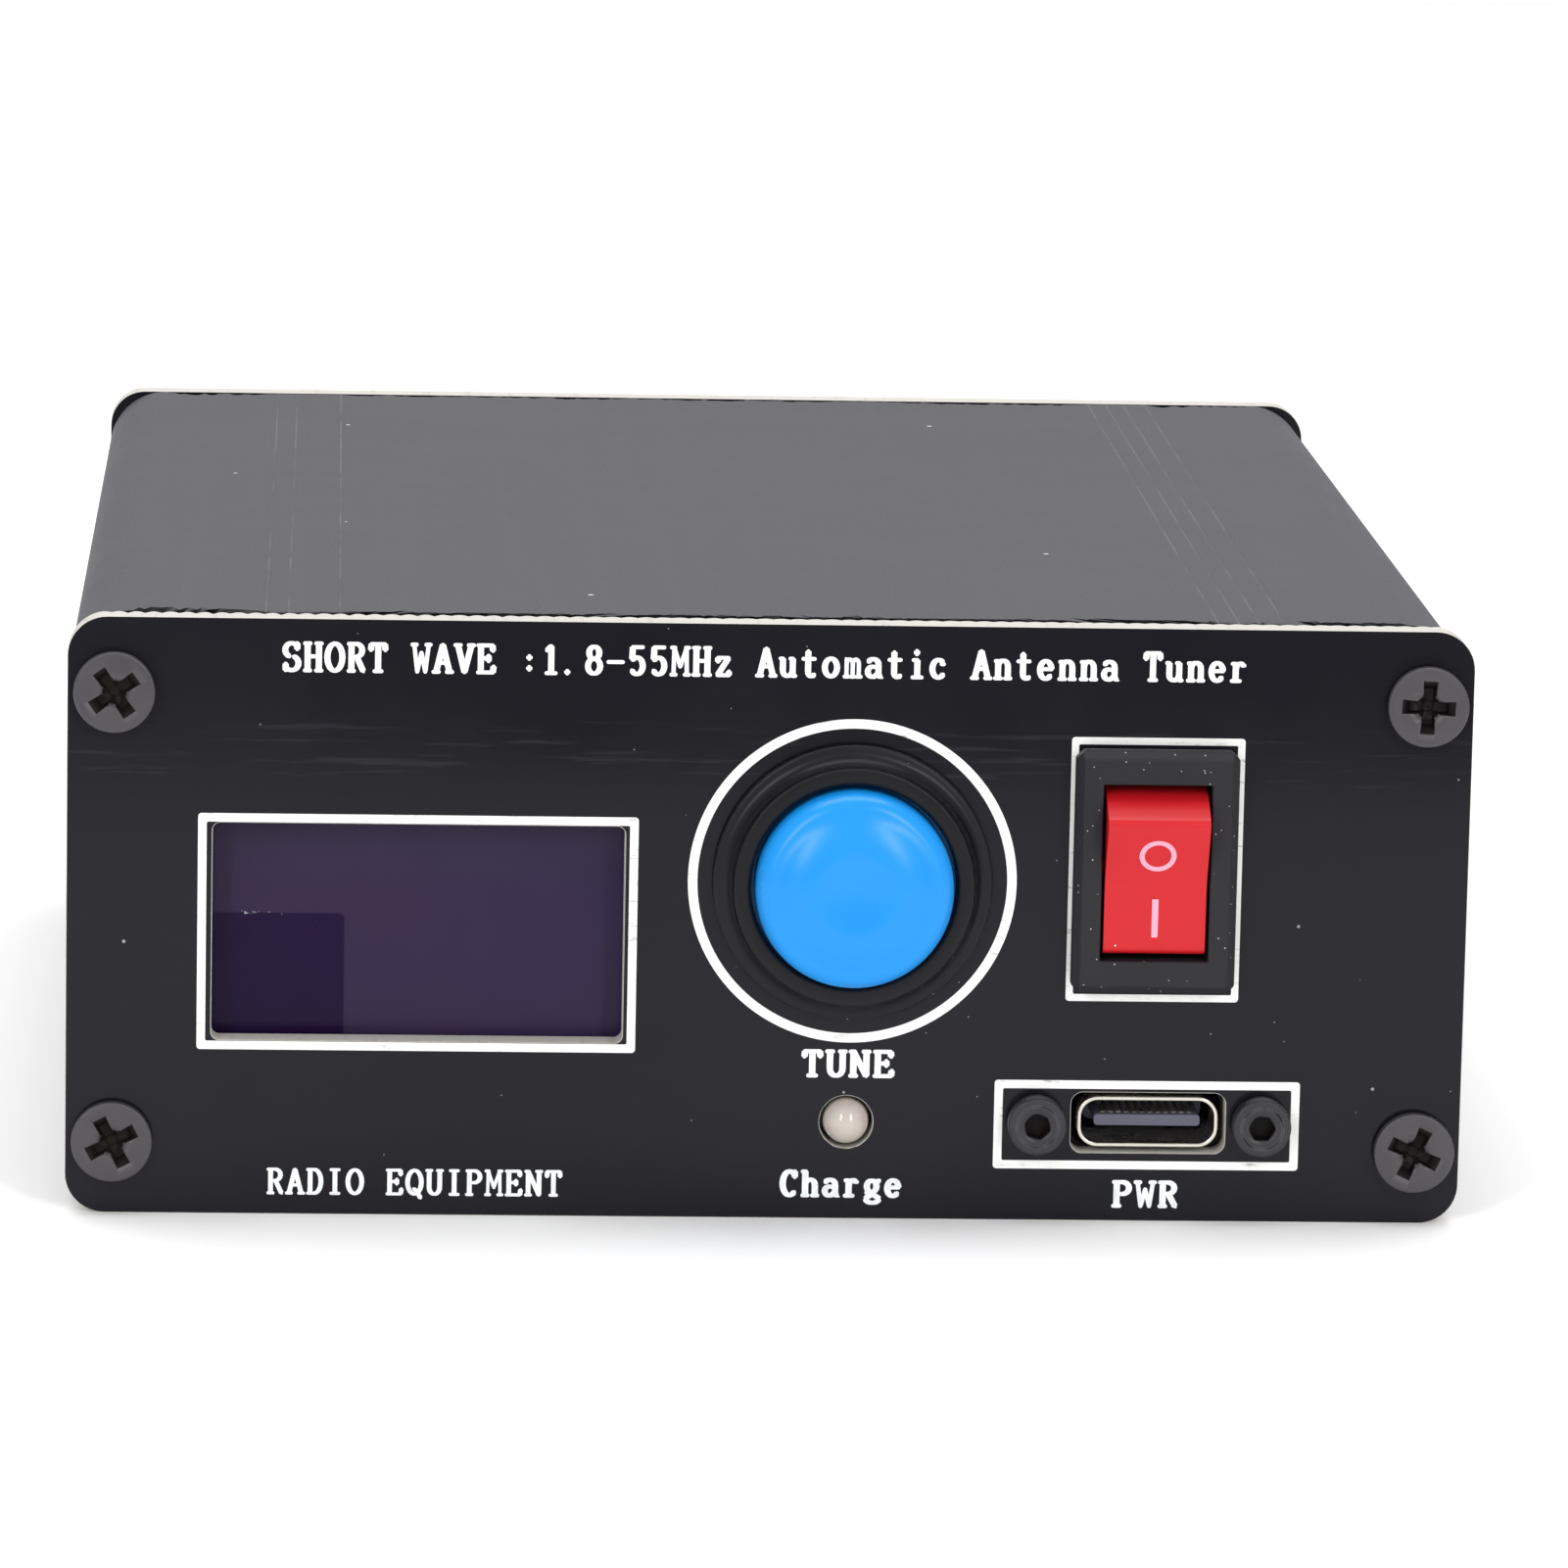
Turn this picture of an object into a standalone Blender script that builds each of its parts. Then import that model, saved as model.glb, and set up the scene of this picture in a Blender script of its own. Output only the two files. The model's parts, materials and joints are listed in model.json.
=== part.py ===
"""Automatic antenna tuner in a split extruded aluminium case.

Frame: metres, +Z up, origin in the middle of the case's underside.
The front panel faces -Y, and +X is to the right when looking at it.
"""

import math

import bmesh
import bpy
from mathutils import Matrix

MM = 0.001
SEAT = 0.3 * MM  # gap between pieces that touch

# Case: two identical extruded halves, one turned over onto the other
CASE_WIDTH = 88.0 * MM
CASE_HEIGHT = 38.0 * MM
CASE_LENGTH = 100.0 * MM
CASE_CORNER = 4.0 * MM
CASE_WALL = 1.8 * MM
LAP_HEIGHT = 0.8 * MM
RIB_DEPTH = 1.5 * MM
RIB_HEIGHT = 1.2 * MM
BOARD_THICK = 1.6 * MM
BOARD_HEIGHT = 9.6 * MM  # underside of the main board above the case's underside
BOARD_END_GAP = 5.0 * MM

# End panels and their corner screws
PANEL_THICK = 2.0 * MM
PANEL_CORNER = 2.5 * MM
SCREW_INSET_X = 2.95 * MM
SCREW_INSET_Z = 4.7 * MM
SCREW_SHANK_R = 1.4 * MM
SCREW_LENGTH = 10.0 * MM
SCREW_HEAD_R = 2.55 * MM
SCREW_HEAD_HEIGHT = 0.65 * MM
CROSS_SPAN = 3.7 * MM
CROSS_ARM = 0.9 * MM
CROSS_DEPTH = 0.4 * MM
BOSS_WALL = 1.1 * MM
BOSS_SLIT = 1.2 * MM
BOSS_SLIT_ANGLE = 135.0  # where the slit opens, from level
BOSS_FOOT_ANGLE = 250.0  # where the boss stands on the floor
SCREW_RIM = 0.2 * MM  # chamfer round each screw head
CROSS_STEP = 0.01 * MM  # keeps the two slots' floors apart

# Display
WINDOW_X = -22.0 * MM
WINDOW_Z = 18.1 * MM
WINDOW_WIDTH = 25.8 * MM
WINDOW_HEIGHT = 13.85 * MM
WINDOW_CORNER = 0.5 * MM
GLASS_MARGIN_X = 0.45 * MM
GLASS_MARGIN_Z = 2.7 * MM
GLASS_THICK = 1.45 * MM
GLASS_GAP = 0.4 * MM
DISPLAY_BOARD_MARGIN_X = 0.3 * MM
DISPLAY_BOARD_MARGIN_Z = 4.3 * MM
DISPLAY_BOARD_THICK = 1.2 * MM
PIN_PITCH = 2.54 * MM
PIN_COUNT = 4
PIN_SIDE = 0.64 * MM
PIN_LENGTH = 6.0 * MM
HEADER_BODY = 2.5 * MM

# Tune push button
BUTTON_X = 5.18 * MM
BUTTON_Z = 21.7 * MM
BUTTON_WALL = 0.6 * MM
BUTTON_BARREL_DEPTH = 18.0 * MM
BEZEL_OVERHANG = 1.1 * MM  # past the barrel, at the foot
BEZEL_TAPER = 1.35 * MM  # from the foot in to the face
BEZEL_HEIGHT = 2.2 * MM
BEZEL_LIP = 1.6 * MM
BEZEL_FOOT = 0.3 * MM
CAP_R = 6.2 * MM
CAP_FLANGE = 0.6 * MM
CAP_FLANGE_THICK = 1.6 * MM
CAP_PROUD = 4.5 * MM
CAP_CROWN = 0.4 * MM
CAP_EDGE = 1.0 * MM
DIMPLE_R = 2.6 * MM
DIMPLE_DEPTH = 0.35 * MM
BUTTON_TRAVEL = 2.5 * MM
STEM_R = 1.5 * MM
STEM_LENGTH = 10.7 * MM
STEM_END_ROOM = 0.7 * MM
BUTTON_BASE_TOP = 10.5 * MM  # depth behind the panel's face
BUTTON_BASE_OUT = 0.8 * MM
SPRING_WIRE_R = 0.35 * MM
SPRING_OFFSET = 0.5 * MM  # outwards from midway between the stem and the cap's side
SPRING_TURNS = 6
SPRING_POINTS_PER_TURN = 10
BUTTON_NUT_WALL = 1.5 * MM
BUTTON_NUT_THICK = 3.0 * MM
TAB_WIDTH = 2.8 * MM
TAB_THICK = 0.5 * MM
TAB_OUT = 6.0 * MM
TAB_IN = 2.5 * MM
BUTTON_TAB_SPACING = 6.4 * MM

# Power rocker switch
SWITCH_X = 24.1 * MM
SWITCH_Z = 22.75 * MM
SWITCH_BEZEL_WIDTH = 10.3 * MM
SWITCH_BEZEL_HEIGHT = 15.5 * MM
SWITCH_BEZEL_PROUD = 2.0 * MM
SWITCH_BEZEL_CHAMFER = 0.5 * MM
SWITCH_WALL_X = 0.84 * MM
SWITCH_WALL_Z = 1.0 * MM
SWITCH_DEPTH = 10.3 * MM
SWITCH_FLOOR = 2.5 * MM
SNAP_WING = 0.7 * MM
SNAP_LENGTH = 3.0 * MM
SWITCH_DRAFT = 0.2 * MM
ROCKER_WIDTH = 6.2 * MM
ROCKER_R = 5.3 * MM
ROCKER_CREST = math.radians(51.5)  # from the rocker's middle to each crest
ROCKER_CREST_OUT = 0.45 * MM  # how far a crest reaches past the round back
ROCKER_SHOULDER = math.radians(76.0)  # where each flat end meets the round back
ROCKER_TILT = math.radians(13.6)  # each way from level
ROCKER_HOLLOW = 0.9 * MM
ROCKER_PIVOT_DEPTH = 0.67 * MM
ROCKER_BACK = 2.2 * MM
ROCKER_PIN_R = 0.6 * MM
ROCKER_PIN_OUT = 0.8 * MM
ROCKER_PIN_CLEARANCE = 0.15 * MM
PLUNGER_R = 0.8 * MM
PLUNGER_REACH = 5.5 * MM
PLUNGER_ROOT = 0.5 * MM
ARM_WIDTH = 3.0 * MM
ARM_LENGTH = 9.0 * MM
ARM_THICK = 0.4 * MM
ARM_TILT = math.radians(8.0)
ARM_PIVOT_DEPTH = 6.7 * MM
CONTACT_OFFSET = 4.0 * MM

# USB socket
USB_X = 24.2 * MM
USB_Z = 6.35 * MM
USB_WIDTH = 8.94 * MM
USB_HEIGHT = 3.26 * MM
USB_CORNER = 1.2 * MM
USB_WALL = 0.3 * MM
USB_LENGTH = 7.0 * MM
USB_RECESS = 0.3 * MM
USB_SLOT_CLEARANCE = 0.4 * MM
TONGUE_WIDTH = 6.7 * MM
TONGUE_THICK = 0.7 * MM
TONGUE_RECESS = 0.9 * MM
TONGUE_ROOT = 1.5 * MM
USB_SCREW_SPACING = 14.2 * MM
USB_SCREW_SHANK_R = 0.9 * MM
USB_SCREW_HEAD_R = 1.85 * MM
USB_SCREW_HEAD_HEIGHT = 1.2 * MM
USB_SCREW_LENGTH = 5.5 * MM
HEX_FLATS = 1.5 * MM
HEX_DEPTH = 0.8 * MM
CARRIER_MARGIN = 2.2 * MM
CARRIER_WALL = 1.0 * MM
CARRIER_CORNER = 1.0 * MM
CARRIER_DEPTH = 4.0 * MM

# Charge LED
LED_X = 5.1 * MM
LED_Z = 6.25 * MM
LED_R = 1.45 * MM
LED_CLEARANCE = 0.25 * MM
LED_PROUD = 0.9 * MM
LED_BODY = 5.3 * MM
LED_FLANGE = 0.3 * MM
LED_FLANGE_THICK = 1.0 * MM
LED_LEG = 0.5 * MM
LED_LEG_LENGTH = 5.0 * MM
LED_LEG_ROOT = 0.5 * MM

# Parts inside
RELAY_EDGE = 0.4 * MM
RELAY_SIZE = (10.5 * MM, 15.5 * MM, 11.8 * MM)
RELAYS_PER_ROW = 5
RELAY_PITCH_X = 12.0 * MM
RELAY_ROW_PITCH = 18.0 * MM
RELAY_REAR_GAP = 24.0 * MM  # from the case's rear end to the last row's middle
RING_X = (-26.0 * MM, 0.0, 26.0 * MM)
RING_Y = -12.0 * MM
RING_R = 7.6 * MM
RING_TUBE_R = 3.2 * MM
COUPLER_SIZE = (14.0 * MM, 7.0 * MM)
COUPLER_LENGTH = 8.0 * MM
COUPLER_CORNER = 2.0 * MM
COUPLER_HOLE_R = 1.9 * MM
COUPLER_REAR_GAP = 11.0 * MM
CHIP_SIZE = (7.5 * MM, 10.3 * MM, 2.3 * MM)
CHIP_X = 14.0 * MM
CHIP_FRONT_GAP = 14.0 * MM
BATTERY_SIZE = (50.0 * MM, 40.0 * MM, 6.0 * MM)
BATTERY_Y = 8.0 * MM
BATTERY_EDGE = 0.8 * MM
CHARGER_BOARD_THICK = 1.0 * MM
CHARGER_BOARD_LENGTH = 20.0 * MM
CHARGER_BOARD_Z = 2.5 * MM
CHARGER_BOARD_MARGIN = 6.0 * MM
CHARGER_BOARD_GAP = 1.5 * MM

# Coaxial sockets on the rear panel
SOCKET_X = 20.0 * MM
SOCKET_Z = CASE_HEIGHT / 2
SOCKET_R = 7.9 * MM
SOCKET_BORE_R = 5.9 * MM
SOCKET_PROUD = 17.0 * MM
SOCKET_FLANGE_R = 9.5 * MM
SOCKET_FLANGE_THICK = 2.5 * MM
SOCKET_NUT_THICK = 2.6 * MM
SOCKET_NUT_WALL = 1.3 * MM
INSULATOR_R = 4.3 * MM
INSULATOR_STEP = 5.0 * MM
INSULATOR_DISC = 2.7 * MM
INSULATOR_BACK = 1.2 * MM
COLLAR_RECESS = 1.8 * MM
CONTACT_R = 2.9 * MM
CONTACT_BORE_R = 2.0 * MM
CONTACT_DEPTH = 11.0 * MM
CONTACT_RECESS = 2.0 * MM
TAIL_R = 1.2 * MM
TAIL_LENGTH = 4.0 * MM

ROUND_STEPS = 32
SMALL_STEPS = 16
MERGE = 1e-6

FRONT_FACE = -(CASE_LENGTH / 2 + SEAT + PANEL_THICK)
REAR_FACE = -FRONT_FACE
SCREW_X = CASE_WIDTH / 2 - SCREW_INSET_X
SCREW_ROWS_Z = (SCREW_INSET_Z, CASE_HEIGHT - SCREW_INSET_Z)
BOARD_TOP = BOARD_HEIGHT + BOARD_THICK
RELAY_ROWS_Y = [CASE_LENGTH / 2 - RELAY_REAR_GAP - row * RELAY_ROW_PITCH for row in (1, 0)]
BUTTON_BORE_R = CAP_R + SEAT
BUTTON_INNER_R = CAP_R + CAP_FLANGE + SEAT
BUTTON_BARREL_R = BUTTON_INNER_R + BUTTON_WALL
BEZEL_BASE_R = BUTTON_BARREL_R + BEZEL_OVERHANG
BEZEL_FACE_R = BEZEL_BASE_R - BEZEL_TAPER
BUTTON_NUT_FLATS = 2 * (BUTTON_BARREL_R + SEAT + BUTTON_NUT_WALL)
SWITCH_OPENING_X = ROCKER_WIDTH + 2 * SEAT
SWITCH_OPENING_Z = 2 * (ROCKER_R + SEAT)
SWITCH_BODY_X = SWITCH_OPENING_X + 2 * SWITCH_WALL_X
SWITCH_BODY_Z = SWITCH_OPENING_Z + 2 * SWITCH_WALL_Z

# Rotations that carry local +Z to the front, to the rear and to +X
TO_FRONT = Matrix.Rotation(math.pi / 2, 4, "X")
TO_REAR = Matrix.Rotation(math.pi, 4, "Z") @ TO_FRONT
TO_SIDE = Matrix.Rotation(math.pi / 2, 4, "Z") @ TO_FRONT
UPRIGHT = Matrix.Identity(4)


def clear_scene():
    for old in list(bpy.data.objects):
        bpy.data.objects.remove(old)


def new_collection(name):
    collection = bpy.data.collections.new(name)
    bpy.context.scene.collection.children.link(collection)
    return collection


clear_scene()
TUNER = new_collection("antenna_tuner")
CUTTERS = new_collection("cutters")


def finish(name, colour, roughness, metallic=0.0):
    """A plain Principled material for one kind of surface."""
    made = bpy.data.materials.new(name)
    made.use_nodes = True
    shader = made.node_tree.nodes["Principled BSDF"]
    shader.inputs["Base Color"].default_value = (*colour, 1.0)
    shader.inputs["Roughness"].default_value = roughness
    shader.inputs["Metallic"].default_value = metallic
    made.diffuse_color = (*colour, 1.0)
    return made


ANODISED = finish("black_anodised_aluminium", (0.085, 0.085, 0.09), 0.5, 0.8)
MASK = finish("black_solder_mask", (0.012, 0.012, 0.014), 0.15)
SCREW_BLACK = finish("black_zinc", (0.06, 0.06, 0.062), 0.35, 0.9)
DISPLAY_GLASS = finish("display_glass", (0.05, 0.035, 0.1), 0.05)
GREEN_BOARD = finish("green_circuit_board", (0.01, 0.12, 0.05), 0.35)
BLUE_BOARD = finish("blue_circuit_board", (0.01, 0.04, 0.2), 0.35)
BLACK_NYLON = finish("black_nylon", (0.015, 0.015, 0.016), 0.5)
BLUE_CAP = finish("blue_plastic", (0.02, 0.3, 0.9), 0.3)
RED_ROCKER = finish("red_plastic", (0.75, 0.02, 0.03), 0.35)
SPRING_STEEL = finish("spring_steel", (0.5, 0.5, 0.5), 0.3, 1.0)
TINNED_BRASS = finish("tinned_brass", (0.7, 0.68, 0.62), 0.3, 1.0)
NICKEL = finish("nickel_plate", (0.62, 0.6, 0.56), 0.25, 1.0)
WHITE_INSULATOR = finish("white_insulator", (0.85, 0.85, 0.82), 0.45)
MILKY_LENS = finish("milky_lens", (0.75, 0.72, 0.7), 0.3)
RELAY_PLASTIC = finish("relay_plastic", (0.02, 0.03, 0.07), 0.4)
RING_IRON = finish("powdered_iron", (0.5, 0.06, 0.04), 0.5)
FERRITE = finish("ferrite", (0.05, 0.05, 0.055), 0.6)
CHIP_EPOXY = finish("chip_epoxy", (0.02, 0.02, 0.022), 0.6)
FOIL = finish("battery_foil", (0.6, 0.6, 0.62), 0.35, 0.7)


def place(thing, spot, turn, surface):
    """Put an object at a point; without a surface it becomes a hidden cutter."""
    thing.matrix_world = Matrix.Translation(spot) @ turn
    if surface is None:
        CUTTERS.objects.link(thing)
        thing.hide_render = True
        thing.display_type = "WIRE"
    else:
        TUNER.objects.link(thing)
        thing.data.materials.append(surface)
    return thing


def box(name, size, centre, surface=None, turn=UPRIGHT, bevel=0.0):
    mesh = bpy.data.meshes.new(name)
    shape = bmesh.new()
    bmesh.ops.create_cube(shape, size=1.0, matrix=Matrix.Diagonal((*size, 1.0)))
    shape.to_mesh(mesh)
    shape.free()
    thing = place(bpy.data.objects.new(name, mesh), centre, turn, surface)
    if bevel:
        rounding = thing.modifiers.new("edges", "BEVEL")
        rounding.width = bevel
        rounding.segments = 1
    return thing


def cylinder(name, radius, length, centre, surface=None, turn=UPRIGHT, steps=SMALL_STEPS):
    mesh = bpy.data.meshes.new(name)
    shape = bmesh.new()
    bmesh.ops.create_cone(
        shape, cap_ends=True, segments=steps, radius1=radius, radius2=radius, depth=length
    )
    shape.to_mesh(mesh)
    shape.free()
    mesh.shade_smooth()
    mesh.set_sharp_from_angle(angle=math.radians(35))
    return place(bpy.data.objects.new(name, mesh), centre, turn, surface)


def turned(name, profile, spot, turn, surface, steps=ROUND_STEPS, closed=False):
    """Spin (radius, height) points, listed down the outer side, about local Z."""
    count = len(profile)
    edges = [(i, i + 1) for i in range(count - 1)]
    if closed:
        edges.append((count - 1, 0))
    mesh = bpy.data.meshes.new(name)
    mesh.from_pydata([(radius, 0.0, height) for radius, height in profile], edges, [])
    thing = place(bpy.data.objects.new(name, mesh), spot, turn, surface)
    spin = thing.modifiers.new("turn", "SCREW")
    spin.steps = steps
    spin.render_steps = steps
    spin.use_merge_vertices = True
    spin.merge_threshold = MERGE
    spin.use_smooth_shade = True
    return thing


def plate(name, loops, thickness, spot, turn, surface=None):
    """Extrude closed outlines, the first with the others as holes, both ways from the middle."""
    curve = bpy.data.curves.new(name, "CURVE")
    curve.dimensions = "2D"
    curve.fill_mode = "BOTH"
    curve.extrude = thickness / 2
    for loop in loops:
        spline = curve.splines.new("POLY")
        spline.points.add(len(loop) - 1)
        for point, (across, up) in zip(spline.points, loop):
            point.co = (across, up, 0.0, 1.0)
        spline.use_cyclic_u = True
    holder = bpy.data.objects.new(name + "_outline", curve)
    bpy.context.scene.collection.objects.link(holder)
    depsgraph = bpy.context.evaluated_depsgraph_get()
    mesh = bpy.data.meshes.new_from_object(holder.evaluated_get(depsgraph))
    bpy.data.objects.remove(holder)
    mesh.name = name
    shape = bmesh.new()
    shape.from_mesh(mesh)
    bmesh.ops.remove_doubles(shape, verts=shape.verts, dist=MERGE)
    shape.to_mesh(mesh)
    shape.free()
    mesh.shade_smooth()
    mesh.set_sharp_from_angle(angle=math.radians(35))
    return place(bpy.data.objects.new(name, mesh), spot, turn, surface)


def boolean(thing, tool, operation):
    step = thing.modifiers.new(operation.lower() + "_" + tool.name, "BOOLEAN")
    step.operation = operation
    step.object = tool
    step.solver = "EXACT"


def cut(thing, tool):
    boolean(thing, tool, "DIFFERENCE")


def weld(thing, tool):
    boolean(thing, tool, "UNION")


def arc(across, up, radius, start, end, steps):
    """Points on an arc, its angles in degrees."""
    points = []
    for step in range(steps + 1):
        angle = math.radians(start + (end - start) * step / steps)
        points.append((across + radius * math.cos(angle), up + radius * math.sin(angle)))
    return points


def circle(across, up, radius, steps=ROUND_STEPS):
    return arc(across, up, radius, 0.0, 360.0, steps)[:-1]


def rounded_rectangle(across, up, width, height, radius, steps=5):
    """A rectangle by its centre, with round corners."""
    half_width = width / 2 - radius
    half_height = height / 2 - radius
    corners = ((1, 1, 0.0), (-1, 1, 90.0), (-1, -1, 180.0), (1, -1, 270.0))
    points = []
    for side, end, start in corners:
        middle = (across + side * half_width, up + end * half_height)
        points += arc(*middle, radius, start, start + 90.0, steps)
    return points


def hexagon(flats):
    """A hexagon with two flats level, given the distance across flats."""
    return arc(0.0, 0.0, flats / math.sqrt(3), 0.0, 360.0, 6)[:-1]


def behind(depth):
    """Y of a plane this far behind the front panel's outer face."""
    return FRONT_FACE + depth


# ---------------------------------------------------------------- case


def shell_side():
    """The inside of one wall, from the split down to the floor, and the slotted screw boss."""
    inner = CASE_WIDTH / 2 - CASE_WALL
    groove_low = BOARD_HEIGHT - SEAT
    groove_high = BOARD_TOP + SEAT
    hole_r = SCREW_SHANK_R + SEAT
    boss_r = hole_r + BOSS_WALL
    ribs = [
        (inner, groove_high + RIB_HEIGHT),
        (inner - RIB_DEPTH, groove_high + RIB_HEIGHT),
        (inner - RIB_DEPTH, groove_high),
        (inner, groove_high),
        (inner, groove_low),
        (inner - RIB_DEPTH, groove_low),
        (inner - RIB_DEPTH, groove_low - RIB_HEIGHT),
        (inner, groove_low - RIB_HEIGHT),
    ]
    meets_wall = math.degrees(math.acos((inner - SCREW_X) / boss_r))
    outer_slit = math.degrees(math.asin(BOSS_SLIT / 2 / boss_r))
    inner_slit = math.degrees(math.asin(BOSS_SLIT / 2 / hole_r))
    slit = BOSS_SLIT_ANGLE
    centre = (SCREW_X, SCREW_INSET_Z)
    before_slit = arc(*centre, boss_r, meets_wall, slit - outer_slit, 4)
    bore = arc(*centre, hole_r, slit - inner_slit, slit + inner_slit - 360.0, 14)
    after_slit = arc(*centre, boss_r, slit + outer_slit, BOSS_FOOT_ANGLE, 5)
    floor = [(after_slit[-1][0], CASE_WALL)]
    return ribs + before_slit + bore + after_slit + floor


def shell_outline():
    """Half of the case: its right lap is a tongue, its left one a rebate."""
    half = CASE_WIDTH / 2
    inner = half - CASE_WALL
    split = CASE_HEIGHT / 2 - SEAT / 2
    lap = half - CASE_WALL / 2
    corner = half - CASE_CORNER
    tongue = [
        (half, split),
        (lap - SEAT / 2, split),
        (lap - SEAT / 2, split + LAP_HEIGHT),
        (inner, split + LAP_HEIGHT),
    ]
    rebate = [
        (-inner, split - LAP_HEIGHT - SEAT),
        (-lap - SEAT / 2, split - LAP_HEIGHT - SEAT),
        (-lap - SEAT / 2, split),
        (-half, split),
    ]
    right = shell_side()
    left = [(-across, up) for across, up in reversed(right)]
    outside = arc(-corner, CASE_CORNER, CASE_CORNER, 180.0, 270.0, 6)
    outside += arc(corner, CASE_CORNER, CASE_CORNER, 270.0, 360.0, 6)
    return tongue + right + left + rebate + outside


def make_case():
    outline = shell_outline()
    plate("lower_shell", [outline], CASE_LENGTH, (0, 0, 0), TO_FRONT, ANODISED)
    turned_over = Matrix.Rotation(math.pi, 4, "Y") @ TO_FRONT
    plate("upper_shell", [outline], CASE_LENGTH, (0, 0, CASE_HEIGHT), turned_over, ANODISED)


def panel_outline():
    return rounded_rectangle(0.0, CASE_HEIGHT / 2, CASE_WIDTH, CASE_HEIGHT, PANEL_CORNER)


def screw_holes():
    hole_r = SCREW_SHANK_R + SEAT
    spots = [(side * SCREW_X, up) for side in (-1, 1) for up in SCREW_ROWS_Z]
    return [circle(*spot, hole_r, SMALL_STEPS) for spot in spots]


def make_front_panel():
    switch_hole = (SWITCH_BODY_X + 2 * SEAT, SWITCH_BODY_Z + 2 * SEAT)
    slot = (USB_WIDTH + 2 * USB_SLOT_CLEARANCE, USB_HEIGHT + 2 * USB_SLOT_CLEARANCE)
    loops = [panel_outline(), *screw_holes()]
    window = (WINDOW_X, WINDOW_Z, WINDOW_WIDTH, WINDOW_HEIGHT, WINDOW_CORNER)
    loops.append(rounded_rectangle(*window, steps=2))
    loops.append(circle(BUTTON_X, BUTTON_Z, BUTTON_BARREL_R + SEAT))
    loops.append(rounded_rectangle(SWITCH_X, SWITCH_Z, *switch_hole, SEAT, steps=1))
    loops.append(rounded_rectangle(USB_X, USB_Z, *slot, USB_CORNER, steps=4))
    loops.append(circle(LED_X, LED_Z, LED_R + LED_CLEARANCE, SMALL_STEPS))
    for side in (-1, 1):
        spot = (USB_X + side * USB_SCREW_SPACING / 2, USB_Z)
        loops.append(circle(*spot, USB_SCREW_SHANK_R + SEAT, SMALL_STEPS))
    middle = (0, behind(PANEL_THICK / 2), 0)
    plate("front_panel", loops, PANEL_THICK, middle, TO_FRONT, MASK)


def make_rear_panel():
    loops = [panel_outline(), *screw_holes()]
    for side in (-1, 1):
        loops.append(circle(side * SOCKET_X, SOCKET_Z, SOCKET_R + SEAT))
    middle = (0, REAR_FACE - PANEL_THICK / 2, 0)
    plate("rear_panel", loops, PANEL_THICK, middle, TO_REAR, MASK)


def panel_screw(name, spot, turn, slot_angle):
    """A flat cheese-head screw with a cross recess."""
    top = SEAT + SCREW_HEAD_HEIGHT
    profile = [
        (0.0, top),
        (SCREW_HEAD_R - SCREW_RIM, top),
        (SCREW_HEAD_R, top - SCREW_RIM),
        (SCREW_HEAD_R, SEAT),
        (SCREW_SHANK_R, SEAT),
        (SCREW_SHANK_R, -SCREW_LENGTH),
        (0.0, -SCREW_LENGTH),
    ]
    screw = turned(name, profile, spot, turn, SCREW_BLACK, SMALL_STEPS + 4)
    for number, quarter in enumerate((0.0, math.pi / 2)):
        angle = math.radians(slot_angle) + quarter
        size = (CROSS_SPAN, CROSS_ARM + number * CROSS_STEP, 2 * CROSS_DEPTH)
        around = turn @ Matrix.Rotation(angle, 4, "Z")
        lift = turn @ Matrix.Translation((0, 0, top))
        centre = (Matrix.Translation(spot) @ lift).to_translation()
        cut(screw, box(f"{name}_slot_{number}", size, centre, turn=around))


def make_panel_screws():
    slot_angles = {(-1, 1): 34.0, (1, 1): -2.0, (-1, 0): 27.0, (1, 0): -25.0}
    rows = ("lower", "upper")
    sides = {-1: "left", 1: "right"}
    for (side, row), angle in slot_angles.items():
        up = SCREW_ROWS_Z[row]
        label = f"{rows[row]}_{sides[side]}"
        front = (side * SCREW_X, FRONT_FACE, up)
        rear = (side * SCREW_X, REAR_FACE, up)
        panel_screw(f"front_screw_{label}", front, TO_FRONT, angle)
        panel_screw(f"rear_screw_{label}", rear, TO_REAR, 90.0 - 2 * angle)


# ------------------------------------------------------------- display


def make_display():
    glass_depth = PANEL_THICK + GLASS_GAP
    glass = (WINDOW_WIDTH + 2 * GLASS_MARGIN_X, GLASS_THICK, WINDOW_HEIGHT + 2 * GLASS_MARGIN_Z)
    centre = (WINDOW_X, behind(glass_depth + GLASS_THICK / 2), WINDOW_Z)
    box("display_glass", glass, centre, DISPLAY_GLASS)

    board = (
        glass[0] + 2 * DISPLAY_BOARD_MARGIN_X,
        DISPLAY_BOARD_THICK,
        glass[2] + 2 * DISPLAY_BOARD_MARGIN_Z,
    )
    board_depth = glass_depth + GLASS_THICK + SEAT
    centre = (WINDOW_X, behind(board_depth + DISPLAY_BOARD_THICK / 2), WINDOW_Z)
    box("display_board", board, centre, BLUE_BOARD)

    strip_depth = board_depth + DISPLAY_BOARD_THICK + SEAT
    strip = (PIN_COUNT * PIN_PITCH, HEADER_BODY, HEADER_BODY)
    up = WINDOW_Z + board[2] / 2 - HEADER_BODY
    centre = (WINDOW_X, behind(strip_depth + HEADER_BODY / 2), up)
    header = box("display_header", strip, centre, BLACK_NYLON)
    for number in range(PIN_COUNT):
        across = WINDOW_X + (number - (PIN_COUNT - 1) / 2) * PIN_PITCH
        pin_y = behind(strip_depth + HEADER_BODY / 2 + PIN_LENGTH / 2)
        pin = (PIN_SIDE, PIN_LENGTH, PIN_SIDE)
        weld(header, box(f"header_pin_{number}", pin, (across, pin_y, up)))


# --------------------------------------------------------- tune button


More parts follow.
